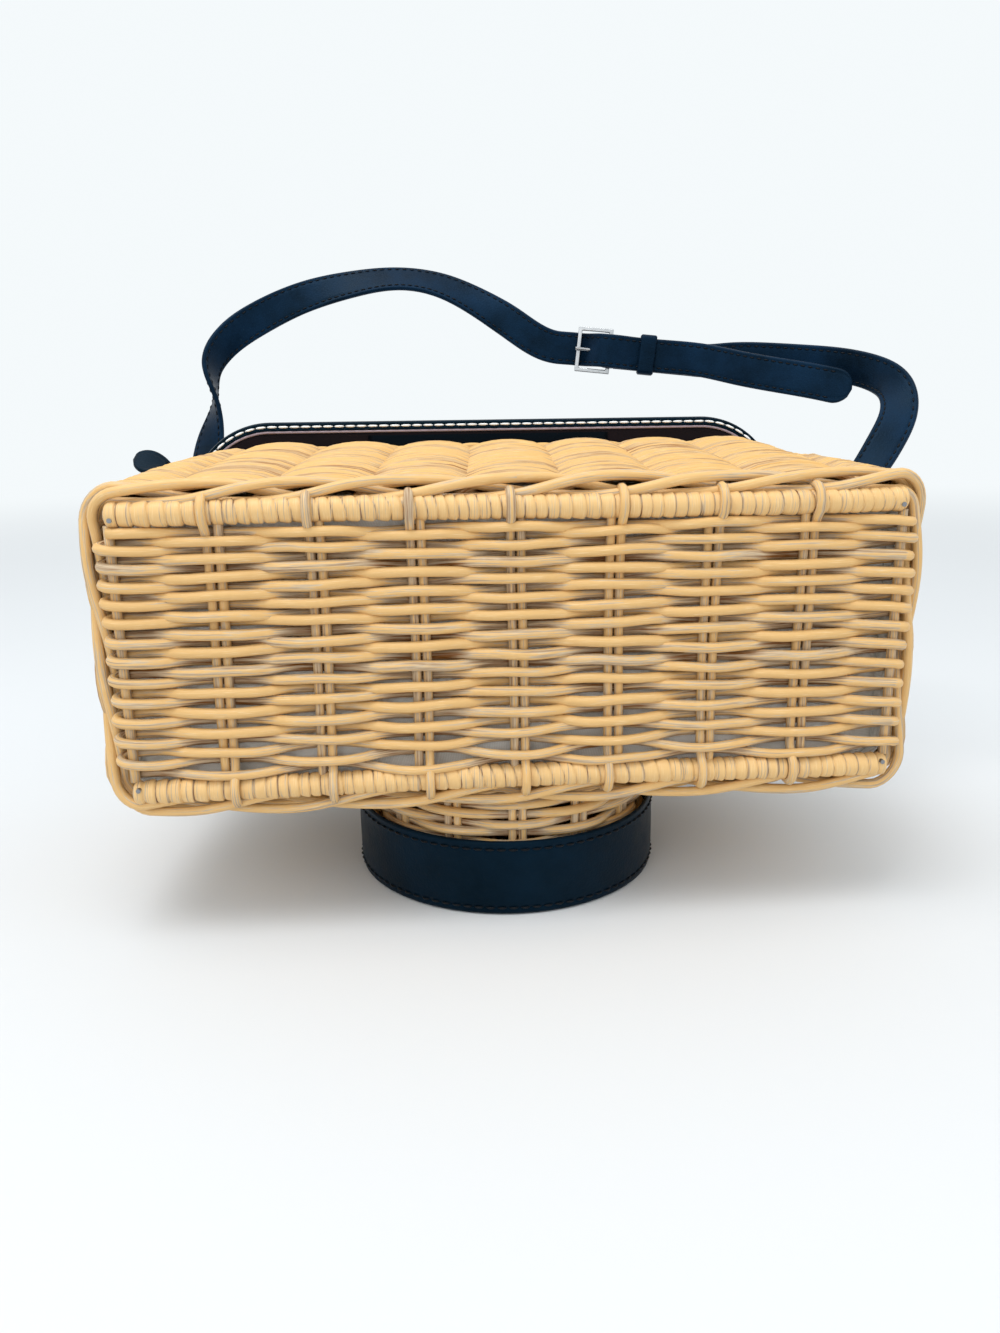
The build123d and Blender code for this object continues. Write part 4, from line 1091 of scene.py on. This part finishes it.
class BAG_OT_strap_short(bpy.types.Operator):
    """Strap from the buckle's heel bar down to the right pivot"""
    bl_idname = "bag.strap_short"
    bl_label = "Short strap"

    def execute(self, context):
        width = context.scene.bag_sizes.strap_width * 1000
        lean = np.array([0.03, 0.26, 0.965])
        side = (0, lean[2], -lean[1])
        pivot = np.array([PIVOT_X, PIVOT_HEIGHT, 0.0])
        straight = (HEEL + 3, HEEL + 8, HEEL + 19, HEEL + 30, HEEL + 38, HEEL + 45, HEEL + 51)
        rows = [strap_row(at_buckle(along, 0), -ACROSS) for along in straight]
        rows += SHORT_ROUTE
        rows += [strap_row(pivot + lean * 12, side), strap_row(pivot - lean * [0, 1, 1] * 9, side)]
        frames = strip_frames(np.array(rows, float), 340)
        body = strip(frames, width, STRAP_THICK, tip=8.7, groove=0.24)
        # the fold round the heel bar: a closed band bent through 320 degrees
        bend = np.linspace(-160, 160, 41) * math.pi / 180
        fold = []
        for k in (0, 1):
            centre = at_buckle(HEEL, 0)
            ring = centre + 2.6 * (-np.cos(bend)[:, None] * ALONG + np.sin(bend)[:, None] * FRONT)
            offset = (-1 if k == 0 else 1) * width * 0.31
            across = np.broadcast_to(-ACROSS, ring.shape)
            along = unit(np.gradient(ring, axis=0))
            fold.append(strip((ring + ACROSS * offset, along, across, np.cross(along, across)), width * 0.36,
                              1.9, soft=0.5))
        build("strap_short_leather", join(body, *fold), made("navy_leather_painted_lit"), "strap",
              ("strap_short",))
        sewn = strip_stitches(frames, width, STRAP_THICK, 3.9, 6.0, 12.0)
        build("strap_short_stitches", sewn, made("navy_polyester_thread"), "strap")
        return {"FINISHED"}


class BAG_OT_keeper(bpy.types.Operator):
    """Leather loop round both layers of the strap"""
    bl_idname = "bag.keeper"
    bl_label = "Keeper"

    def execute(self, context):
        strap_width, slack, leather_half = 17.5, 0.3, 0.7
        half_w = strap_width / 2 + slack + leather_half
        half_t = (STRAP_THICK + 2.9 + 1.6) / 2 + leather_half
        turn = np.arange(120) / 120
        a, b, _, _ = outline(turn, half_w, half_t, 1.6)
        centre = at_buckle(HEEL + 20.5, 1.45)
        middle = centre + a[:, None] * ACROSS + b[:, None] * FRONT
        along = unit(np.roll(middle, -1, 0) - np.roll(middle, 1, 0))
        wide = np.broadcast_to(ALONG, middle.shape)
        face = np.cross(along, wide)
        place = np.linspace(-4.4, 4.4, 13)
        edge = np.clip((np.abs(place) - 3.8) / 0.6, 0, 1)
        rise = 0.7 * np.sqrt(np.clip(1 - edge ** 2, 0, 1))
        x, y = np.concatenate([place[::-1], place[1:-1]]), np.concatenate([rise[::-1], -rise[1:-1]])
        grid = middle[:, None] + wide[:, None] * x[None, :, None] + face[:, None] * y[None, :, None]
        build("keeper_loop", sheet(grid, closed_rows=True, closed_columns=True), made("navy_leather_painted_lit"),
              "keeper", ("strap_keeper",))
        return {"FINISHED"}


class BAG_OT_side_tabs(bpy.types.Operator):
    """Leather tabs under the pivots; the left one's round end curls away from the wall"""
    bl_idname = "bag.side_tabs"
    bl_label = "Side tabs"

    def execute(self, context):
        left = [(136.6, 0, -9.5, 0), (136.6, 0, 17, 0), (136.6, 0, 34, 0), (137.6, 1, 47, 0.2),
                (141.4, 2, 54.5, 0.4), (147.6, 3, 59, 0.7), (155.0, 3, 60.5, 0.8)]
        right = [(136.6, 0, -9.5, 0), (136.6, 0, 17, 0), (136.3, 0, 34, 0), (134.6, 0, 41, 0),
                 (131.6, 0, 47, 0), (127.8, 0, 52.0, 0)]
        for name, side, line in (("side_tab_left", -1, left), ("side_tab_right", 1, right)):
            rows = [(side * out, PIVOT_HEIGHT + rise, up, 0, 1, twist) for out, rise, up, twist in line]
            frames = strip_frames(np.array(rows, float), 90)
            build(name + "_leather", strip(frames, 15.0, 2.0, tip=7.5, groove=0.18),
                  made("pigmented_navy_leather"),
                  "basket", (name,))
            sewn = strip_stitches(frames, 15.0, 2.0, 3.6, 4.0, 9.0, inset=2.2, radius=0.32)
            build(name + "_stitches", sewn, made("navy_polyester_thread"), "basket")
        return {"FINISHED"}


class BAG_OT_fittings(bpy.types.Operator):
    """Metal and board parts that keep their CAD shape"""
    bl_idname = "bag.fittings"
    bl_label = "Fittings"

    def execute(self, context):
        finishes = {"base_nails": "drawn_steel", "lid_board": "pressed_fibreboard",
                    "catch_tab": "pigmented_navy_leather"}
        for node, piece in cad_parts.items():
            if piece.hide_render:
                continue
            piece.data.materials.clear()
            piece.data.materials.append(made(finishes.get(node, "polished_nickel_plate")))
        return {"FINISHED"}


# ---- studio -----------------------------------------------------------------------------------------------
class BAG_OT_studio(bpy.types.Operator):
    """Wide pale floor under a white sky, soft lights and the camera"""
    bl_idname = "bag.studio"
    bl_label = "Studio"

    def execute(self, context):
        finish = context.scene.bag_finishes
        # the floor: rings of growing distance round the middle
        out = np.array([0.0, 0.6, 1.4, 3.0, 6.0, 14.0])
        up = np.zeros(6)
        turn = np.arange(96) / 96 * FULL_TURN
        grid = np.stack([out[:, None] * np.cos(turn), out[:, None] * np.sin(turn), up[:, None] + 0 * turn],
                        -1) * 1000
        grid = grid - np.array([0.0, BASE_Y, MIDDLE_Z]) * 1000
        material, tree = new_material("matt_studio_paper")
        place = add(tree, "TexCoord")
        mottle = add(tree, "TexNoise", {"Vector": place.outputs["Object"], "Scale": 3.0})
        pale = tuple(finish.floor_colour)
        colour = add(tree, "ValToRGB", {0: mottle.outputs["Fac"]},
                     stops=((0.2, tuple(0.98 * c for c in pale[:3]) + (1.0,)), (0.8, pale)))
        paper = add(tree, "BsdfPrincipled", {"Base Color": colour.outputs[0], "Roughness": 0.8,
                                             "Specular IOR Level": 0.2})
        haze = add(tree, "Emission", {"Color": linear("#F8FDFF"), "Strength": finish.sky_strength})
        distance = add(tree, "VectorMath", {0: place.outputs["Object"]}, operation="LENGTH")
        far = add(tree, "MapRange", {0: distance.outputs["Value"], 1: 0.6, 2: 2.4},
                  interpolation_type="SMOOTHSTEP")
        blend = add(tree, "MixShader", {0: far.outputs[0], 1: paper.outputs[0], 2: haze.outputs[0]})
        add(tree, "OutputMaterial", {"Surface": blend.outputs[0]})
        floor = build("studio_floor", sheet(grid, closed_columns=True), material)

        world = bpy.data.worlds.new("studio_white")
        context.scene.world = world
        world.use_nodes = True
        world.node_tree.nodes["Background"].inputs[0].default_value = linear("#F8FDFF")
        world.node_tree.nodes["Background"].inputs[1].default_value = finish.sky_strength
        for name, place, size, power in (("overhead", (-0.3, -0.3, 1.5), 0.8, finish.key_power),
                                         ("front", (-0.7, -1.5, 0.9), 1.0, finish.key_power * 0.33),
                                         ("right", (1.3, -0.6, 0.8), 1.0, finish.key_power * 0.15)):
            data = bpy.data.lights.new(name, "AREA")
            data.energy, data.size = power, size
            lamp = bpy.data.objects.new(name, data)
            context.scene.collection.objects.link(lamp)
            aim = np.array([0.0, 0.0, 0.1]) - np.array(place)
            lamp.location = place
            lamp.rotation_mode = "QUATERNION"
            lamp.rotation_quaternion = Vector(aim).to_track_quat("-Z", "Y")

        yaw, pitch, roll = math.radians(-4.15), math.radians(14.2), math.radians(0.8)
        ahead = np.array([-math.sin(yaw) * math.cos(pitch), math.cos(yaw) * math.cos(pitch),
                          -math.sin(pitch)])
        right = np.array([math.cos(yaw), math.sin(yaw), 0.0])
        down = np.cross(ahead, right)
        image_right = right * math.cos(roll) + down * math.sin(roll)
        image_down = -right * math.sin(roll) + down * math.cos(roll)
        data = bpy.data.cameras.new("camera")
        data.sensor_width, data.lens = 36.0, 27.007
        camera = bpy.data.objects.new("camera", data)
        context.scene.collection.objects.link(camera)
        turn = np.stack([image_right, -image_down, -ahead], -1)
        camera.matrix_world = Matrix.Translation((-0.0305, -0.397, 0.1806)) @ Matrix(turn.tolist()).to_4x4()
        context.scene.camera = camera
        context.scene.view_settings.view_transform = "Standard"
        return {"FINISHED"}


OPERATORS = (BAG_OT_base_weave, BAG_OT_base_stakes, BAG_OT_base_rods, BAG_OT_foot_wale, BAG_OT_wall,
             BAG_OT_rim,
             BAG_OT_lining, BAG_OT_barrel, BAG_OT_barrel_band, BAG_OT_lid, BAG_OT_lid_lining, BAG_OT_hinge,
             BAG_OT_side_tabs, BAG_OT_strap_long, BAG_OT_strap_short, BAG_OT_keeper, BAG_OT_fittings,
             BAG_OT_studio)


class BAG_PT_panel(bpy.types.Panel):
    bl_idname = "BAG_PT_panel"
    bl_label = "Woven Box Bag"
    bl_space_type = "VIEW_3D"
    bl_region_type = "UI"
    bl_category = "Bag"

    def draw(self, context):
        for group in (context.scene.bag_sizes, context.scene.bag_finishes):
            for key in group.__annotations__:
                self.layout.prop(group, key)
        for operator in OPERATORS:
            self.layout.operator(operator.bl_idname)


CLASSES = (BagSizes, BagFinishes) + OPERATORS + (BAG_PT_panel,)


def register():
    for item in CLASSES:
        bpy.utils.register_class(item)
    bpy.types.Scene.bag_sizes = bpy.props.PointerProperty(type=BagSizes)
    bpy.types.Scene.bag_finishes = bpy.props.PointerProperty(type=BagFinishes)


def unregister():
    del bpy.types.Scene.bag_sizes
    del bpy.types.Scene.bag_finishes
    for item in reversed(CLASSES):
        bpy.utils.unregister_class(item)


def main():
    """Builds every piece in order."""
    register()
    for operator in OPERATORS:
        group, name = operator.bl_idname.split(".")
        getattr(getattr(bpy.ops, group), name)()


if __name__ == "__main__":
    main()
